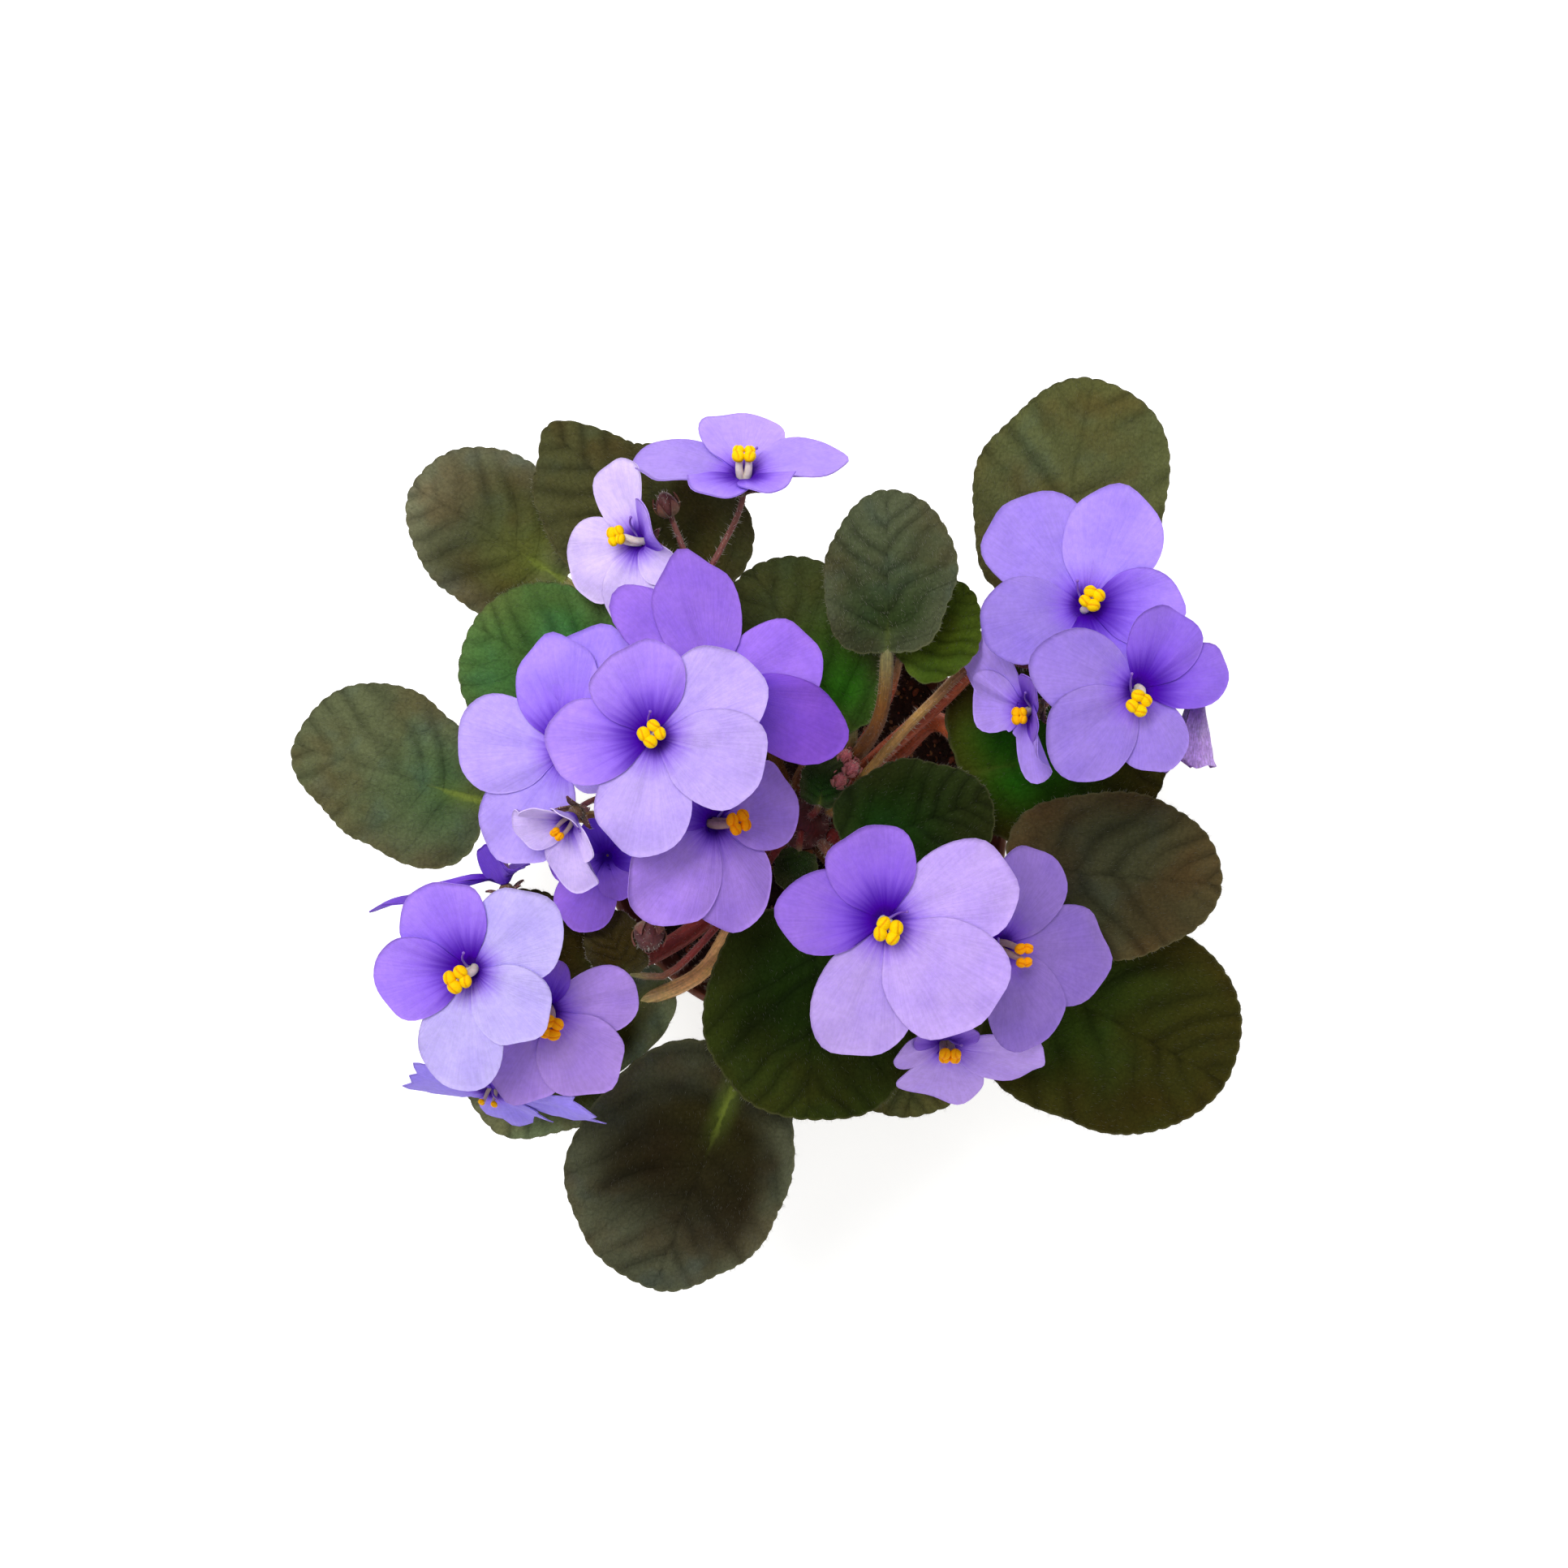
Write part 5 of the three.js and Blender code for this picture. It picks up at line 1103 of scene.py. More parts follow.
def blade_relief(leaf, blade, along, across, reach, seed):
    """How far the upper face stands out in its quilts, and the lower face in its ribs."""
    size = min(1, blade.length / 30)
    shares = bent_along(blade, along, across, seed) / blade.length, across / blade.length
    phase = vein_root(*shares) * VEIN_PAIRS + np.sign(across) * VEIN_SIDE_SHIFT + 0.08
    quilt = np.abs(np.sin(np.pi * phase)) ** 0.8
    level = 7 * seed
    fade = smooth_step(1.0, 0.8, reach) * smooth_step(0.0, 3.0 * size, np.abs(across))
    swell = 0.5 + 0.5 * np.clip(flat_ripple(along, across, level, 19, seed + 30) + 0.4, -0.6, 1)
    lumps = (0.3 * flat_ripple(along, across, level, 6.5, seed)
             + 0.16 * flat_ripple(along, across, level, 3.1, seed + 50))
    cushions = QUILT_HEIGHT * swell * (quilt - 0.45) + lumps
    upper = size * leaf.get("quilt", 1) * cushions * (0.25 + 0.75 * fade)
    tip_fade = smooth_step(1.0, 0.7, along / blade.length)
    upper = upper - size * RIB_DEPTH * bump(across, 0.9) * tip_fade
    from_vein = (phase - np.round(phase)) * blade.length / VEIN_PAIRS
    veins = bump(from_vein, 0.7) * smooth_step(1.0, 0.75, reach)
    return upper, upper * 0.7 - size * VEIN_DEPTH * veins


def blade_half(reach):
    """Half the blade's thickness, which thins towards its margin."""
    return mix(BLADE_THICKNESS, BLADE_EDGE_THICKNESS, reach**3) / 2


def leaf_tints(leaf, along, across, reach, seed):
    """The blade's colour over most of it, round the foot of its midrib and towards its margin.
    along and across are shares of the blade's length."""
    cloud = np.clip(0.5 + 0.5 * flat_ripple(along * 40, across * 40, 3 * seed, 26, seed + 11), 0, 1)
    heart = smooth_step(0.75, 0.1, along) * smooth_step(0.45, 0.05, np.abs(across))
    heart = np.clip(heart + 0.3 * (cloud - 0.5), 0, 1)
    colour = blend_colours(srgb(*leaf["tone"]), srgb(*leaf["heart"]), heart)
    margin = smooth_step(0.55, 1.0, reach) * (0.3 + 0.5 * cloud)
    far = smooth_step(0.45, 1.0, along) * (0.35 + 0.6 * cloud)
    colour = blend_colours(colour, srgb(*leaf["edge"]), np.maximum(margin, far))
    colour[..., :3] *= LEAF_LIGHT
    colour[..., 3] = leaf["rib"]
    return colour


def add_blade(shape, leaf, blade, rings, spokes, seed):
    """A scalloped, quilted blade with veins, of which the lower face has half as many rings."""
    spread = np.linspace(-np.pi, np.pi, spokes, endpoint=False)
    angle = spread - 0.22 * np.sin(2 * spread)
    share = np.linspace(0, 1, rings + 1)
    share = np.where(share < 1, share * (1 + 0.08 * (1 - share)), 1)
    reach, angle = np.meshgrid(share, angle, indexing="ij")
    middle, along, across = blade_surface(leaf, blade, reach, angle)
    upper_relief, lower_relief = blade_relief(leaf, blade, along, across, reach, seed)
    half = blade_half(reach) * min(1, 0.5 + blade.length / 60)
    upper = middle + (half + upper_relief)[..., None] * blade.up
    lower = middle - (half - np.minimum(lower_relief, upper_relief))[..., None] * blade.up
    bent = bent_along(blade, along, across, seed)
    place = np.stack([bent / blade.length, across / blade.length, reach], axis=-1)
    tint = leaf_tints(leaf, along / blade.length, across / blade.length, reach, seed)
    back = blend_colours(tint, LEAF_BACK, np.full(reach.shape, 0.75))
    shape.sheet(upper, lower[::2], True, (LEAF, LEAF_UNDER, LEAF), place, tint, place[::2], back[::2])


def add_blade_hairs(shape, leaf, blade, density, rng, seed):
    """Short pale hairs, combed towards the tip on the face, and a fringe round the margin."""
    count = int(density * (np.pi / 4 * blade.length * leaf["width"]))
    size = min(1, 0.4 + blade.length / 60)
    tone = srgb(*leaf["tone"])
    angle = rng.uniform(-np.pi, np.pi, count)
    reach = np.sqrt(rng.uniform(0, 1, count))
    middle, along, across = blade_surface(leaf, blade, reach, angle)
    relief, _ = blade_relief(leaf, blade, along, across, reach, seed)
    roots = middle + (blade_half(reach) + relief)[:, None] * blade.up
    comb = blade.along * 0.8 + blade.across * 0.35
    ways = 0.65 * blade.up + comb + 0.3 * rng.normal(size=(count, 3))
    shape.hairs(roots, ways, size * rng.uniform(0.5, 1.15, count), rng, BLADE_HAIR_RADIUS,
                blend_colours(tone, HAIR_PALE, 0.14 * leaf.get("fuzz", 1)))
    fringe = leaf.get("fringe", 1)
    count = round(half_way_round(leaf, blade.length) * FRINGE_HAIRS * fringe)
    angle = np.sort(rng.uniform(-np.pi, np.pi, count))
    roots, _, _ = blade_surface(leaf, blade, np.ones(count), angle)
    outward = from_axes(0, blade.axes, np.cos(angle), np.sin(angle))
    ways = outward + 0.45 * blade.along + 0.3 * blade.up + 0.3 * rng.normal(size=(count, 3))
    shape.hairs(roots, ways, size * rng.uniform(0.5, 1.2, count), rng, BLADE_HAIR_RADIUS,
                blend_colours(tone, HAIR_PALE, min(1, 0.35 * fringe)))


def petiole_route(leaf, blade, root, direction, steps):
    """The stalk's route from its root to the blade and on under it, with its radii."""
    radius = leaf.get("petiole", PETIOLE_RADIUS)
    share = joint_share(leaf, blade.length)

    def under(reach, angle, drop):
        point, _, _ = blade_surface(leaf, blade, np.array([reach]), np.array([angle]))
        return point[0] - drop * radius * blade.up

    joint = under(0.96 * share, np.pi, 0.95)
    first = root + direction * 2.2
    if "via" in leaf:
        bend = np.array(leaf["via"], float)
    else:
        span = np.linalg.norm(joint - root)
        bend = bezier_route(first, first + direction * 0.3 * span,
                            joint - blade.along * 0.3 * span, joint, 4)[1:-1]
    stalk = smooth_route([root, first, *bend, joint], steps)
    midrib = smooth_route([joint, under(0.7 * share, np.pi, 0.85), under(0.4 * share, np.pi, 0.72),
                           under(0.0, 0.0, 0.6), under(0.7, 0.0, 0.4)], steps // 2)
    start, middle, end = PETIOLE_TAPER
    foot = 1 + 0.14 * bump(np.linspace(0, 1, steps + 1), 0.12)
    radii = radius * np.concatenate([foot * np.linspace(start, middle, steps + 1),
                                     np.linspace(middle, end, steps // 2 + 1)[1:]])
    return np.vstack([stalk, midrib[1:]]), radii


def add_petiole(shape, leaf, blade, root, direction, rng, steps=22, sides=12):
    """A leaf's stalk, which runs on under the blade as its midrib."""
    route, radii = petiole_route(leaf, blade, root, direction, steps)
    colour = STALKS[leaf["stalk"]]
    share = np.linspace(0, len(route) / steps, len(route))
    tint = blend_colours(colour, LEAF_BACK, smooth_step(0.75, 1.15, share) * 0.8)
    shape.tube(route, radii, sides, tint, STALK, swell=0.05, seed=int(leaf["width"]))
    count = int(PETIOLE_HAIRS * route_length(route))
    shape.tube_hairs(route[1:steps + 1], radii[1:steps + 1], count, rng, 1.0,
                     blend_colours(colour, HAIR_PALE, 0.4))


def build_leaf(leaf, number):
    """A grown leaf: its blade, its stalk from the crown, and their hairs."""
    rng = np.random.default_rng(number)
    shape = Shape()
    blade = BladeFrame(leaf)
    add_blade(shape, leaf, blade, BLADE_RINGS, BLADE_SPOKES, number)
    bearing, tier = leaf["start"]
    root = polar(STALK_START_RADIUS, bearing, LEAF_TIERS[tier])
    add_petiole(shape, leaf, blade, root, polar(1, bearing, 0), rng)
    add_blade_hairs(shape, leaf, blade, BLADE_HAIRS * leaf.get("fuzz", 1), rng, number)
    return shape


def bud_axes(base, tip):
    """A bud's length, and its axis with two directions across it."""
    axis = unit(tip - base)
    first = unit(np.cross(axis, (0.3, 0.9, 0.1)))
    return np.linalg.norm(tip - base), (axis, first, np.cross(axis, first))


def bud_taper(share):
    """How wide a bud is along its length, before its ends are rounded."""
    return 1.15 - 0.4 * share


def add_bud(shape, base, tip, radius, tint, rng):
    """An egg-shaped bud with five soft ribs, pointing from its base to its tip."""
    rows, columns = 16, 20
    length, axes = bud_axes(base, tip)
    egg = ball(rows, columns)
    turn = full_turn(columns)
    share = (egg[..., 2] + 1) / 2
    ribs = 1 + 0.1 * np.cos(SEPALS * turn)[None] * np.sin(np.pi * share)
    width = radius * ribs * bud_taper(share)
    grid = from_axes(base, axes, share * length, egg[..., 0] * width, egg[..., 1] * width)
    place = np.stack(np.broadcast_arrays(share, turn / (2 * np.pi), radius), axis=-1)
    shape.shell(grid, place, tint, STALK)
    roots = grid.reshape(-1, 3)[rng.integers(0, rows * columns, int(26 * radius))]
    outward = unit(roots - base - 0.4 * length * axes[0])
    ways = outward + 0.3 * rng.normal(size=roots.shape) + 0.3 * axes[0]
    shape.hairs(roots, ways, rng.uniform(0.5, 1.1, len(roots)), rng)


def add_bud_sepals(shape, base, tip, radius, colours):
    """Five pointed sepals that hug a bud from its foot. colours are those of their foot and tip."""
    length, axes = bud_axes(base, tip)
    s, t, place = strip_grid(9, 5)
    share = 0.03 + 0.8 * s
    bud_width = radius * bud_taper(share) * np.sqrt(1 - (2 * share - 1) ** 2)
    away = bud_width * 1.08 + 0.2 + 0.5 * s**3
    for sepal in range(SEPALS):
        angle = 2 * np.pi * (sepal + 0.5) / SEPALS + 0.5 * t * (1 - s**2)
        middle = from_axes(base, axes, share * length, away * np.cos(angle), away * np.sin(angle))
        shape.leaflet(middle, 0.14, place, blend_colours(*colours, s))


def add_wilted(shape, base, tip, radius, rng):
    """A wilted flower: crumpled lobes that hang together from its foot and flare at the end."""
    length, axes = bud_axes(base, tip)
    s, t, place = strip_grid(24, 17)
    lobes = ((-1.1, 1.3, 1, 1.1), (0.95, 0.7, 1.12, 0.7), (2.8, 1.2, 0.95, 0.95))
    for turn, spread, reach, shade in lobes:
        end = reach * (1 - 0.1 * np.abs(np.sin(2.6 * t + turn)) - 0.12 * t**2)
        angle = turn + spread * t
        away = radius * (0.5 + s**1.1) * (1 - 0.2 * np.abs(np.sin(4 * t + turn)) * s)
        middle = from_axes(base, axes, s * end * length, away * np.cos(angle), away * np.sin(angle))
        crumple = 0.3 * s * ripple(middle, 4.2, int(rng.integers(1000)))
        middle = middle + crumple[..., None] * grid_normals(middle)
        tint = blend_colours(WITHERED, WITHERED_FOOT, np.clip(1.2 - 2.4 * s, 0, 1))
        tint[..., :3] *= shade
        shape.leaflet(middle, 0.15, place, tint)


def add_stem(shape, rng):
    """The crown's short upright stem, bare at its foot and hairy above."""
    heights = np.array([CROWN_BOTTOM, CROWN_BOTTOM + 2, CROWN_TOP - 3, CROWN_TOP - 0.8])
    radii = np.array([0.83, 1, 1, 0.72]) * CROWN_RADIUS
    route = even_route(np.stack([0 * heights, 0 * heights, heights], axis=1), 40)
    widths = np.interp(route[:, 2], heights, radii)
    tint = blend_colours(CROWN_FOOT, CROWN_HEAD, smooth_step(68, 88, route[:, 2]))
    shape.tube(route, widths, 28, tint, STALK, swell=0.06, seed=4)
    shape.tube_hairs(route[14:], widths[14:], 700, rng, 1.3)


def add_young_bud(shape, tip, rng):
    """A pink bud on a stalk of its own from the crown."""
    root = np.array([2.5, 3.5, CROWN_TOP - 3])
    base = tip + (-0.8, -0.8, -3.6)
    route = smooth_route([root, root + (1, 2, 5), base, tip], 14)
    radii = np.linspace(0.7, 0.5, 15)
    shape.tube(route, radii, 8, FLOWER_STALK, STALK, swell=0.05, seed=9)
    shape.tube_hairs(route, radii, 90, rng, 1.1)
    end = tip + (0.2, 0.8, 0.4)
    add_bud(shape, base, end, CROWN_BUD_RADIUS, BUD_MAUVE, rng)
    add_bud_sepals(shape, base, end, CROWN_BUD_RADIUS + 0.05, YOUNG_BUD_SEPALS)


def build_crown():
    """The crown's stem with its young leaves and young buds."""
    rng = np.random.default_rng(300)
    shape = Shape()
    add_stem(shape, rng)
    for seed, leaf in enumerate(YOUNG_LEAVES, 40):
        blade = BladeFrame(leaf)
        add_blade(shape, leaf, blade, YOUNG_BLADE_RINGS, YOUNG_BLADE_SPOKES, seed)
        add_petiole(shape, leaf, blade, np.array(leaf["root"], float), UP, rng, steps=14, sides=8)
        add_blade_hairs(shape, leaf, blade, YOUNG_BLADE_HAIRS, rng, seed)
    for tip in CROWN_BUDS:
        add_young_bud(shape, np.array(tip, float), rng)
    return shape


class FlowerFrame:
    """A flower's own frame: the way in its plane nearest to +X, the way across that, and out of
    its throat."""

    def __init__(self, flower):
        bearing, tilt = flower["lean"]
        self.centre = np.array(flower["at"], float)
        self.out = polar(math.sin(math.radians(tilt)), bearing, math.cos(math.radians(tilt)))
        self.east = unit(np.array([1.0, 0, 0]) - self.out * self.out[0])
        self.axes = (self.east, np.cross(self.out, self.east), self.out)

    def point(self, radius, angle, height):
        return from_axes(self.centre, self.axes, radius * np.cos(angle), radius * np.sin(angle), height)

    def place(self, points):
        """Points given as (east, north, out) from the throat."""
        return from_axes(self.centre, self.axes, *np.moveaxis(points, -1, 0))


def lobe_outline(length, width, angle):
    """How far a rounded lobe reaches from the throat at an angle from its middle, or 0 past it."""
    middle = 0.56 * length
    long_half = length - middle
    a = (np.cos(angle) / long_half) ** 2 + (np.sin(angle) / (width * length)) ** 2
    b = middle * np.cos(angle) / long_half**2
    inside = b**2 - a * ((middle / long_half) ** 2 - 1)
    shoulder = 1 + 0.06 * bump(np.abs(angle) - LOBE_SHOULDER * width, 0.2)
    return np.where(inside > 0, (b + np.sqrt(np.maximum(inside, 0))) / a * shoulder, 0)


def corolla_height(lobes, radius, angle):
    """The height of the fused flower over its plane: each lobe's own lift, passing smoothly into
    the next lobe's, a little curl at the end and a funnel in the middle."""
    middles = np.radians([lobe[0] for lobe in lobes])
    turns = (angle[..., None] - middles) % (2 * np.pi)
    before = np.argmin(turns, axis=-1)
    after = (before + 1) % len(lobes)
    gap = (middles[after] - middles[before]) % (2 * np.pi)
    step = 2 * np.take_along_axis(turns, before[..., None], axis=-1)[..., 0] / gap
    share = np.where(step < 1, 0.5 * step**4, 1 - 0.5 * (2 - np.minimum(step, 2)) ** 4)
    lengths, lifts = (np.array([lobe[i] for lobe in lobes], float) for i in (1, 2))
    lift = np.radians(mix(lifts[before], lifts[after], share))
    length = mix(lengths[before], lengths[after], share)
    rest = np.log1p(np.exp((radius - THROAT_RADIUS) * 3)) / 3
    edge = np.minimum(step, 2 - step)
    out = radius / length
    curl = -0.05 * length * out**4 + 0.03 * length * edge**2 * np.minimum(out, 1)
    funnel = THROAT_DEPTH * (1 - smooth_step(0.5, 2.8, radius))
    return np.tan(lift) * rest + curl - funnel


def lobe_spokes(lobes, index):
    """A lobe's spokes, as shares from -1 to 1, as angles from its middle, and as shares of the way
    from its middle to the cleft between it and its neighbour, with the neighbour's length."""
    bearing, length, _, width = lobes[index]
    before, after = lobes[index - 1], lobes[(index + 1) % len(lobes)]
    probe = np.linspace(0, 1.3, 400)
    widest = probe[lobe_outline(length, width, probe) > 0][-1]
    t = np.linspace(-1, 1, PETAL_SPOKES)
    t = np.sin(t * np.pi / 2) * 0.6 + t * 0.4
    gap = np.radians(np.where(t < 0, (bearing - before[0]) % 360, (after[0] - bearing) % 360))
    offset = t * np.maximum(widest, gap / 2 + 0.1)
    return t, offset, offset / (gap / 2), np.where(t < 0, before[1], after[1])


def lobe_margin(flower, index, spokes, rng):
    """How far each spoke of a lobe reaches, and the phases of the lobe's waves."""
    _, length, _, width = flower["lobes"][index]
    t, offset, sample, near = spokes
    web = CLEFT_REACH * np.minimum(length, near) * smooth_step(1.25, 0.95, np.abs(sample))
    outline = (lobe_outline(length, width, offset) ** 6 + web**6) ** (1 / 6)
    point = rng.uniform(-0.02, 0.035)
    if "points" in flower:
        point += flower["points"][index]
    phases = rng.uniform(0, 2 * np.pi, 5)
    waves = (0.022 * np.sin(3.4 * t + phases[4]) + 0.02 * np.sin(6.5 * t + phases[0])
             + 0.008 * np.sin(13 * t + phases[1]))
    torn = 0.5 * np.abs(np.sin(5.3 * t + phases[3])) + 0.5 * ((3.6 * t + phases[1]) % 1)
    tear = 0.24 * (flower.get("frill", 1) - 1) * torn
    outline = outline * (1 + point * bump(offset, 0.15)) * (1 + waves) * (1 - tear)
    return np.maximum(outline, LOBE_START + 0.5), phases


def lobe_height(flower, index, spokes, radius, angle, phases, rank, rng):
    """The height of a lobe over the flower's plane: it lies over or under its neighbours by rank,
    ripples towards its end, and has soft puckers and a furrow along its middle."""
    lobes = flower["lobes"]
    length = lobes[index][1]
    t, offset, sample, _ = spokes
    out = radius / length
    size = length / PETAL_LENGTH
    neighbour = np.where(offset < 0, rank[index - 1], rank[(index + 1) % len(lobes)])
    stack = np.sign(rank[index] - neighbour) * smooth_step(0.3, 1.0, np.abs(sample))
    overlap = PETAL_OVERLAP_LIFT * stack * smooth_step(1.5, 7, radius)
    calm = 1 - 0.65 * smooth_step(0.5, 0.95, np.abs(sample))
    wave = 0.75 * np.sin(4.4 * t + phases[2]) + 0.35 * np.sin(9 * t + phases[3])
    ruffle = flower.get("frill", 1) * size * wave * calm * out**3
    seed = int(rng.integers(1000))
    folds = flat_ripple(radius * np.cos(angle), radius * np.sin(angle), 9 * index, 12, seed)
    puckers = size * 0.6 * folds * bump(t, 0.7) * calm * smooth_step(0.25, 0.7, out)
    furrow = 0.35 * size * bump(t, 0.16) * smooth_step(0.15, 0.4, out) * smooth_step(0.9, 0.5, out)
    return corolla_height(lobes, radius, angle) + overlap + ruffle + puckers - furrow


def lobe_tint(flower, index, points, rng):
    """A lobe's colour for an array of its points, with the reach of its dark eye."""
    is_dark = index in flower["dark"]
    tint = np.broadcast_to(srgb(*flower["deep" if is_dark else "light"]), (*points, 4)).copy()
    # painted light and shade: the flower's light and deep colours and each lobe's shades make lobes
    # lighter or darker as the light falls on them, on top of their own colour
    shade = PETAL_LIGHT * rng.uniform(0.97, 1.03)
    if "shades" in flower:
        shade *= flower["shades"][index]
    tint[..., :3] = np.minimum(tint[..., :3] * PETAL_CAST * shade, 1)
    eye = DARK_EYE_REACH if is_dark else EYE_REACH
    tint[..., 3] = eye * (PETAL_LENGTH / flower["lobes"][index][1]) ** 0.5
    return tint


def add_lobe(shape, flower, own, index, rank, rng):
    """One lobe, as a thin sheet from inside the throat to its rounded, gently waved margin."""
    bearing, length, _, _ = flower["lobes"][index]
    spokes = lobe_spokes(flower["lobes"], index)
    reach, phases = lobe_margin(flower, index, spokes, rng)
    t = spokes[0]
    share = np.linspace(0, 1, PETAL_RINGS) ** 0.9
    rho, offset = np.meshgrid(share, spokes[1], indexing="ij")
    radius = LOBE_START + (reach - LOBE_START) * rho
    angle = math.radians(bearing) + offset
    height = lobe_height(flower, index, spokes, radius, angle, phases, rank, rng)
    middle = own.point(radius, angle, height)
    normal = grid_normals(middle)
    normal = normal * np.sign((normal * own.out).sum(-1, keepdims=True) + 1e-9)
    way = mix(PETAL_THICKNESS, PETAL_EDGE_THICKNESS, rho**2)[..., None] / 2 * normal
    inner = smooth_step(1.02, 0.85, np.abs(t))
    place = np.stack([radius / length, t + 3.1 * index + 0 * rho, 1 - inner * (1 - rho)], axis=-1)
    shape.sheet(middle + way, middle - way, False, (PETAL, PETAL_UNDER, PETAL), place,
                lobe_tint(flower, index, rho.shape, rng))


def build_corolla(flower, number):
    """Five lobes, of which the dark ones lie over the others, round a small funnel."""
    rng = np.random.default_rng(100 + number)
    shape = Shape()
    own = FlowerFrame(flower)
    lobes = flower["lobes"]
    rank = rng.permutation(len(lobes)).astype(float)
    for index in flower["dark"]:
        rank[index] += 10
    if "front" in flower:
        rank[flower["front"]] += 20
    for index in range(len(lobes)):
        add_lobe(shape, flower, own, index, rank, rng)
    radius, angle = round_grid(np.linspace(0, 3.2, 9), 40)
    middle = own.point(radius, angle, corolla_height(lobes, radius, angle) - 0.12)
    way = PETAL_THICKNESS / 2 * own.out
    tint = (*THROAT_VIOLET[:3], 0.45)
    place = np.stack([radius / PETAL_LENGTH, angle * 1.6, 0 * radius], axis=-1)
    shape.sheet(middle + way, middle - way, True, (PETAL, PETAL_UNDER, PETAL_UNDER), place,
                np.broadcast_to(tint, (*radius.shape, 4)))
    return shape


def level_turn(angle):
    """A turn in the flower's own plane, for points written as rows."""
    cos, sin = math.cos(angle), math.sin(angle)
    return np.array([[cos, sin, 0], [-sin, cos, 0], [0, 0, 1]])


def build_anthers(flower, number):
    """Two anthers, each of two plump halves with a furrow, on two thick filaments, and the style."""
    rng = np.random.default_rng(200 + number)
    shape = Shape()
    own = FlowerFrame(flower)
    degrees, size, gap = flower.get("cluster", (20, 1, 0))
    spin = level_turn(math.radians(degrees))
    aside = np.array([*flower.get("anthers", (0, 0)), flower.get("rise", 0)])
    # painted shade: anthers that lie in shade get a deeper orange, and their filaments a duller brown, as
    # far as this share says
    anther_shade = flower.get("anther_shade", 0)
    pollen = blend_colours(POLLEN_YELLOW, POLLEN_SHADED, anther_shade)
    pale = blend_colours(FILAMENT_PALE, FILAMENT_SHADED, anther_shade)
    grid = ball(16, 20)
    for side in (-1, 1):
        for end in (-1, 1):
            half = ANTHER_HALF * size * rng.uniform(0.92, 1.06)
            furrow = bump(grid[..., 0] - 0.2 * side, 0.16) * smooth_step(-0.3, 0.6, grid[..., 2])
            lump = grid * half * (1 - 0.12 * furrow)[..., None] @ level_turn(side * end * 0.35)
            place = (side * (ANTHER_SPACING * size + gap), end * 0.98 * size,
                     ANTHER_HEIGHT + rng.uniform(-0.15, 0.15))
            lump = (lump + place) @ spin + aside
            lump = lump + 0.05 * ripple(lump, 1.6, number)[..., None]
            # the third mark tells the anther skin where the furrow's painted shade falls
            marks = np.stack([grid[..., 2], grid[..., 0], furrow], axis=-1)
            shape.shell(own.place(lump), marks, pollen, ANTHER)
        foot = np.array([side * 0.55, 0, -THROAT_DEPTH + 0.4])
        elbow = np.array([side * 0.95, -0.3, 1.0]) @ spin + 0.3 * aside
        top = np.array([side * 0.95, 0, ANTHER_HEIGHT - 0.2]) @ spin + aside
        route = own.place(smooth_route([foot @ spin, elbow, top], 12))
        shape.tube(route, np.linspace(*FILAMENT_RADII, 13) * size, 10, pale, FILAMENT)
    route = own.place(smooth_route(STYLE_ROUTE, 12) @ spin + 0.4 * aside)
    tint = blend_colours(STYLE_FOOT, STYLE_END, np.linspace(0, 1, 13))
    shape.tube(route, np.linspace(*STYLE_RADII, 13), 7, tint, FILAMENT)
    head = ball(8, 10) * STIGMA_RADIUS
    shape.shell(route[-1] + head, head, STIGMA, FILAMENT)
    return shape


def add_sepal(shape, own, angle, top, rng):
    """A narrow pointed sepal, curving from the calyx out under the flower."""
    s, t, place = strip_grid(9, 7)
    radius = mix(0.45, SEPAL_LENGTH, s)
    height = top - CALYX_LENGTH * (1 - s) ** 1.8 - 0.35 * s * (1 - s) - 0.25
    width = 0.95 * (1 - s**2.2) * (0.75 + 0.6 * s) + 0.05
    sideways = own.point(1.0, angle + np.pi / 2, 0.0) - own.centre
    middle = own.point(radius, angle, height + 0.22 * t**2) + (width * t)[..., None] * sideways
    shape.leaflet(middle, SEPAL_HALF_THICKNESS, place, blend_colours(SEPAL_FOOT, SEPAL_TIP, s * 0.9))
    roots = middle.reshape(-1, 3)[rng.integers(0, s.size, 26)]
    ways = -own.out + 0.6 * rng.normal(size=roots.shape) + 0.3 * (roots - own.centre)
    shape.hairs(roots, ways, rng.uniform(0.5, 1.0, len(roots)), rng)


def add_calyx(shape, flower, rng):
    """The tube's foot with its five sepals behind a flower. Returns where the thin stalk joins it
    and the way that the flower faces."""
    own = FlowerFrame(flower)
    top = -THROAT_DEPTH - CALYX_GAP
    for sepal in range(SEPALS):
        add_sepal(shape, own, 2 * np.pi * (sepal + 0.5) / SEPALS, top, rng)
    end, foot, mouth = (own.centre + own.out * height
                        for height in (top - CALYX_LENGTH, top - 0.6 * CALYX_LENGTH, top + 0.2))
    cup = smooth_route([end, foot, mouth], 10)
    radii = CALYX_RADIUS * np.array([0.4, 0.55, 0.72, 0.85, 0.93, 0.98, 1, 0.98, 0.92, 0.84, 0.7])
    shape.tube(cup, radii, 14, CALYX, STALK, swell=0.04, seed=3)
    shape.tube_hairs(cup, radii, 60, rng, 0.9)
    return foot, own.out


def stem_point(stem, share):
    return stem[round(share * (len(stem) - 1))]


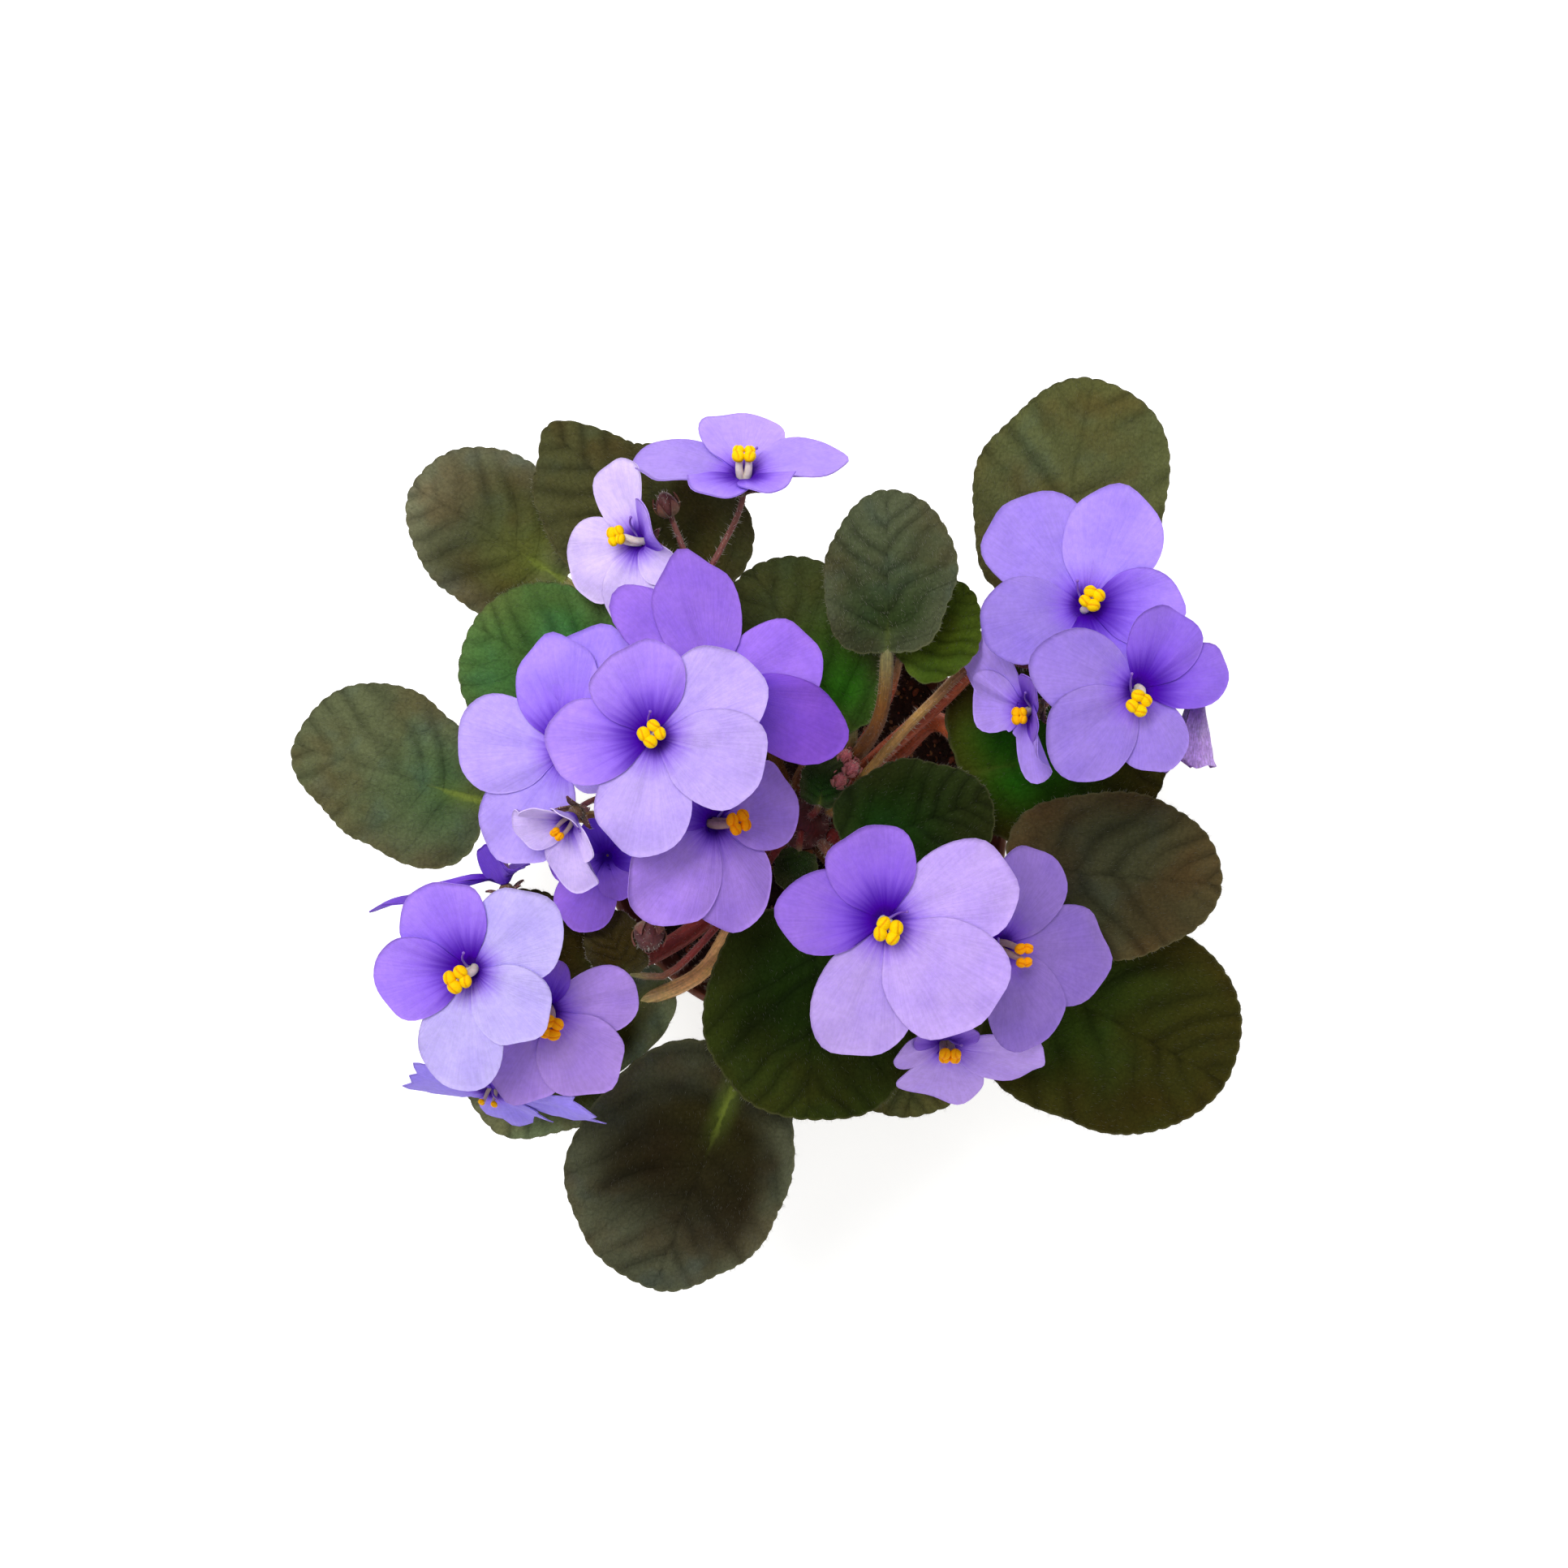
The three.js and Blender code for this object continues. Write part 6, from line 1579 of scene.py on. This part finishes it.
def add_pedicel(shape, start, end, arrival, rng):
    """A thin stalk from a point on the spray's stem, arching up and arriving from behind."""
    span = np.linalg.norm(end - start)
    rise = mix(start, end, 0.3) + UP * 0.25 * span
    route = even_route(bezier_route(start, rise, end - arrival * 0.35 * span, end, 40), 20)
    knob = 1 + 0.25 * bump(np.linspace(1, 0, 21), 0.06)
    radii = np.linspace(PEDICEL_RADIUS * 1.2, PEDICEL_RADIUS, 21) * knob
    tint = blend_colours(FLOWER_STALK, PEDICEL_END, np.linspace(0, 0.6, 21))
    shape.tube(route, radii, 9, tint, STALK, swell=0.06, seed=int(span * 10))
    shape.tube_hairs(route, radii, int(PEDICEL_HAIRS * span), rng, 1.25)


def add_side_bud(shape, stem, bud, rng):
    """A closed bud or a withered flower, on a thin stalk of its own."""
    start = stem_point(stem, bud.get("share", 1))
    tip = np.array(bud["tip"], float)
    radius = bud["radius"]
    lean = unit(bud.get("way", unit(tip - start) + (0, 0, 0.6)))
    base = tip - lean * bud["length"]
    if bud.get("wilted"):
        add_wilted(shape, base, tip, radius, rng)
        # a dark core that fills the withered flower's tube: partly its crumpled middle and partly painted
        # shade inside the tube
        add_bud(shape, base, mix(base, tip, 0.75), 0.6 * radius, WITHERED_CORE_SHADE, rng)
    else:
        add_bud(shape, base, tip, radius, BUD_DARK, rng)
        add_bud_sepals(shape, base, tip, radius, BUD_SEPALS)
    add_pedicel(shape, start, base + lean * 0.6, lean, rng)


def build_spray(key, number):
    """A flower stem with the thin stalks and calyces of its flowers, and its buds."""
    rng = np.random.default_rng(400 + number)
    shape = Shape()
    spray = SPRAYS[key]
    bearing, height = spray["start"]
    foot = [polar(STALK_START_RADIUS + out, bearing, height + up) for out, up in ((0, 0), (1.8, 4.5))]
    stem = smooth_route([*foot, *spray["route"]], 200)
    route = stem[::5]
    radii = np.linspace(PEDUNCLE_RADIUS * 1.1, PEDUNCLE_RADIUS * 0.8, len(route))
    upper = smooth_step(0.4, 0.9, np.linspace(0, 1, len(route)))
    tint = blend_colours(srgb(*spray.get("stem", STEM_FOOT)), FLOWER_STALK, upper)
    shape.tube(route, radii, 12, tint, STALK, swell=0.05, seed=number)
    shape.tube_hairs(route, radii, int(STEM_HAIRS * route_length(route)), rng, 1.35)
    for flower in FLOWERS:
        if flower["spray"] == key:
            foot, out = add_calyx(shape, flower, rng)
            add_pedicel(shape, stem_point(stem, flower.get("share", 1)), foot, out, rng)
    for bud in spray["buds"]:
        add_side_bud(shape, stem, bud, rng)
    return shape


def pot_inner_radius(z):
    """The radius of the pot's inside at a height."""
    foot = POT_HEIGHT - POT_COLLAR_HEIGHT
    if z > foot:
        return mix(POT_WALL_TOP_RADIUS, POT_RIM_RADIUS, (z - foot) / POT_COLLAR_HEIGHT) - POT_WALL
    return mix(POT_BASE_RADIUS, POT_WALL_TOP_RADIUS, (z - POT_FLOOR) / (foot - POT_FLOOR)) - POT_WALL


def soil_surface(radius, angle):
    """Points of the soil's crumbly top, which is level at its edge."""
    edge = pot_inner_radius(SOIL_TOP) - SOIL_GAP
    x, y = radius * np.cos(angle), radius * np.sin(angle)
    height = sum(rise * flat_ripple(x, y, 0, size, seed)
                 for rise, size, seed in ((0.8, 13, 1), (0.5, 5, 2), (0.3, 2.4, 3)))
    return np.stack([x, y, SOIL_TOP + height * smooth_step(edge + 2, edge - 4, radius)], axis=-1)


def build_soil():
    """The potting soil: a crumbly mound with grains and fibres lying in it."""
    rng = np.random.default_rng(500)
    shape = Shape()
    edge = pot_inner_radius(SOIL_TOP) - SOIL_GAP
    bottom_edge = pot_inner_radius(POT_FLOOR + SOIL_GAP) - SOIL_GAP

    def spot(least, most):
        reach = edge * math.sqrt(rng.uniform(least, most))
        return soil_surface(np.array(reach), np.array(rng.uniform(0, 2 * np.pi)))

    radius, angle = round_grid(np.linspace(0, edge, SOIL_RINGS), SOIL_SPOKES)
    top = soil_surface(radius, angle)
    bottom = top[::3] * (bottom_edge / edge)
    bottom[..., 2] = POT_FLOOR + SOIL_GAP
    tints = [np.broadcast_to(SOIL_DARK, (*grid.shape[:2], 4)) for grid in (top, bottom)]
    shape.sheet(top, bottom, True, (0, 0, 0), 0 * top, tints[0], 0 * bottom, tints[1])
    grain = ball(5, 6)
    shades = [srgb(*colour) for colour in SOIL_GRAIN_SHADES]
    for _ in range(SOIL_GRAINS):
        place = spot(0.015, 0.97)
        size = rng.uniform(0.25, 1.0) * rng.uniform(0.6, 1.3, 3)
        lump = grain * size * rng.uniform(0.75, 1.2, grain.shape[:2])[..., None] @ spin_matrix(rng)
        shape.shell(place + lump, grain, shades[rng.integers(len(shades))], 0)
    for _ in range(SOIL_FIBRES):
        place = spot(0.02, 0.9)
        way = polar(rng.uniform(1, 2.6), rng.uniform(0, 360), rng.uniform(-0.3, 0.5))
        bend = place + 0.5 * way + 0.5 * rng.normal(size=3)
        bend[2] = max(bend[2], place[2] + 0.3)
        shape.tube(smooth_route([place, bend, place + way], 6), SOIL_FIBRE_RADIUS, 4, SOIL_FIBRE, 0)
    return shape


def spin_matrix(rng):
    """A random turn."""
    matrix, _ = np.linalg.qr(rng.normal(size=(3, 3)))
    return matrix * np.sign(np.linalg.det(matrix))


def arc(centre, radius, start, end, steps=6):
    """Points of an arc in the pot's profile, angles in degrees."""
    angles = np.radians(np.linspace(start, end, steps))
    return [(centre[0] + radius * math.cos(a), centre[1] + radius * math.sin(a)) for a in angles]


def build_pot():
    """A tapered cup with a rounded rim, a collar and a base that stands on its outer ring."""
    foot = POT_HEIGHT - POT_COLLAR_HEIGHT
    lip = POT_WALL / 2
    toe = POT_FOOT_ROUNDING
    profile = [
        (0.0, POT_BASE_HOLLOW),
        (POT_BASE_RADIUS - 5, POT_BASE_HOLLOW),
        (POT_BASE_RADIUS - 4.4, 0.0),
        *arc((POT_BASE_RADIUS - toe, toe), toe, -90, 0),
        *((mix(POT_BASE_RADIUS, POT_WALL_TOP_RADIUS, share), foot * share) for share in (0.2, 0.6)),
        (POT_WALL_TOP_RADIUS - 0.05, foot - 0.4),
        *arc((POT_COLLAR_RADIUS - 0.4, foot + 0.55), 0.4, -80, 0),
        (mix(POT_COLLAR_RADIUS, POT_RIM_RADIUS, 0.5), mix(foot, POT_HEIGHT, 0.5)),
        *arc((POT_RIM_RADIUS - lip, POT_HEIGHT - lip), lip, 0, 180, 12),
        (POT_WALL_TOP_RADIUS - POT_WALL, foot),
        *arc((POT_BASE_RADIUS - POT_WALL - 1.2, POT_FLOOR + 1.2), 1.2, 0, -90),
        (0.0, POT_FLOOR),
    ]
    radius, height = np.array(profile).T
    radius, turn = round_grid(radius, POT_SIDES)
    height = np.broadcast_to(height[:, None], radius.shape)
    grid = np.stack([radius * np.cos(turn), radius * np.sin(turn), height], axis=-1)
    shape = Shape()
    shape.shell(grid, 0 * grid, (1, 1, 1, 1), 0)
    return shape


def cut_drain_holes(pot):
    """Cuts the holes in the pot's floor, keeps the result in the mesh and its sharp edges sharp."""
    cutters = []
    for hole in range(DRAIN_HOLES):
        place = polar(DRAIN_CIRCLE_RADIUS, 360 * (hole + 0.5) / DRAIN_HOLES, POT_FLOOR / 2) * MM
        bpy.ops.mesh.primitive_cylinder_add(vertices=40, radius=DRAIN_RADIUS * MM,
                                            depth=3 * POT_FLOOR * MM, location=place)
        cutters.append(bpy.context.object)
    for cutter in cutters:
        modifier = pot.modifiers.new("hole", "BOOLEAN")
        modifier.operation = "DIFFERENCE"
        modifier.solver = "EXACT"
        modifier.object = cutter
    graph = bpy.context.evaluated_depsgraph_get()
    mesh = bpy.data.meshes.new_from_object(pot.evaluated_get(graph))
    pot.modifiers.clear()
    pot.data = mesh
    for cutter in cutters:
        bpy.data.objects.remove(cutter)
    mesh.set_sharp_from_angle(angle=math.radians(POT_SHARP_ANGLE))


def make_floor():
    """A wide pale floor, with a little light of its own so that shadows on it stay faint."""
    bpy.ops.mesh.primitive_plane_add(size=6, location=(0, 0, -0.0002))
    floor = bpy.context.object
    floor.name = "floor"
    graph = Graph("floor_paint", Roughness=0.9, Specular_IOR_Level=0.1, Emission_Strength=0.45,
                  Emission_Color=(1, 1, 1, 1))
    tone = graph.noise(graph.position(), 3, 2)
    graph.colour(graph.mix(tone, srgb(244, 244, 244), srgb(250, 250, 250)))
    floor.data.materials.append(graph.material)


def make_light(name, place, size, power, aim=(0, 0, 0.1)):
    """A square lamp that shines along its own -Z towards its aim. Lengths are in metres."""
    data = bpy.data.lights.new(name, "AREA")
    data.energy = power
    data.size = size
    light = bpy.data.objects.new(name, data)
    light.location = place
    x, y, z = unit(np.array(aim) - np.array(place))
    light.rotation_euler = (math.acos(-z), 0.0, math.atan2(x, -y))
    bpy.context.scene.collection.objects.link(light)


def make_camera():
    data = bpy.data.cameras.new("camera")
    data.lens = CAMERA_LENS
    data.sensor_width = SENSOR_WIDTH
    data.clip_start = 0.01
    camera = bpy.data.objects.new("camera", data)
    camera.location = [value * MM for value in CAMERA_PLACE]
    bpy.context.scene.collection.objects.link(camera)
    bpy.context.scene.camera = camera


def make_world():
    world = bpy.data.worlds.new("studio")
    world.use_nodes = True
    background = world.node_tree.nodes["Background"]
    background.inputs["Color"].default_value = (1, 1, 1, 1)
    background.inputs["Strength"].default_value = 0.55
    bpy.context.scene.world = world


pot = make_piece("nursery_pot", build_pot(), "pot", ("pot",))
cut_drain_holes(pot)
make_piece("soil_bed", build_soil(), "potting_soil", ("soil",))
make_piece("young_growth", build_crown(), "crown", PLANT_SKINS)
for number, leaf in enumerate(LEAVES, 1):
    node = f"leaf_{number:02d}"
    make_piece(f"{node}_fine", build_leaf(leaf, number), node, PLANT_SKINS)
for number, key in enumerate(SPRAYS):
    node = f"flower_stalk_{key}"
    make_piece(f"{node}_fine", build_spray(key, number), node, PLANT_SKINS)
for number, flower in enumerate(FLOWERS, 1):
    corolla = build_corolla(flower, number)
    make_piece(f"bloom_{number:02d}", corolla, f"corolla_{number:02d}", FLOWER_SKINS)
    if number not in FLOWERS_WITH_HIDDEN_ANTHERS:
        anthers = build_anthers(flower, number)
        make_piece(f"stamens_{number:02d}", anthers, f"anthers_{number:02d}", ANTHER_SKINS)

make_floor()
make_world()
make_light("key", (-0.35, 0.45, 1.1), 0.7, 16)
make_light("fill", (0.6, -0.5, 0.9), 1.0, 7)
make_camera()
bpy.context.scene.view_settings.view_transform = "Standard"
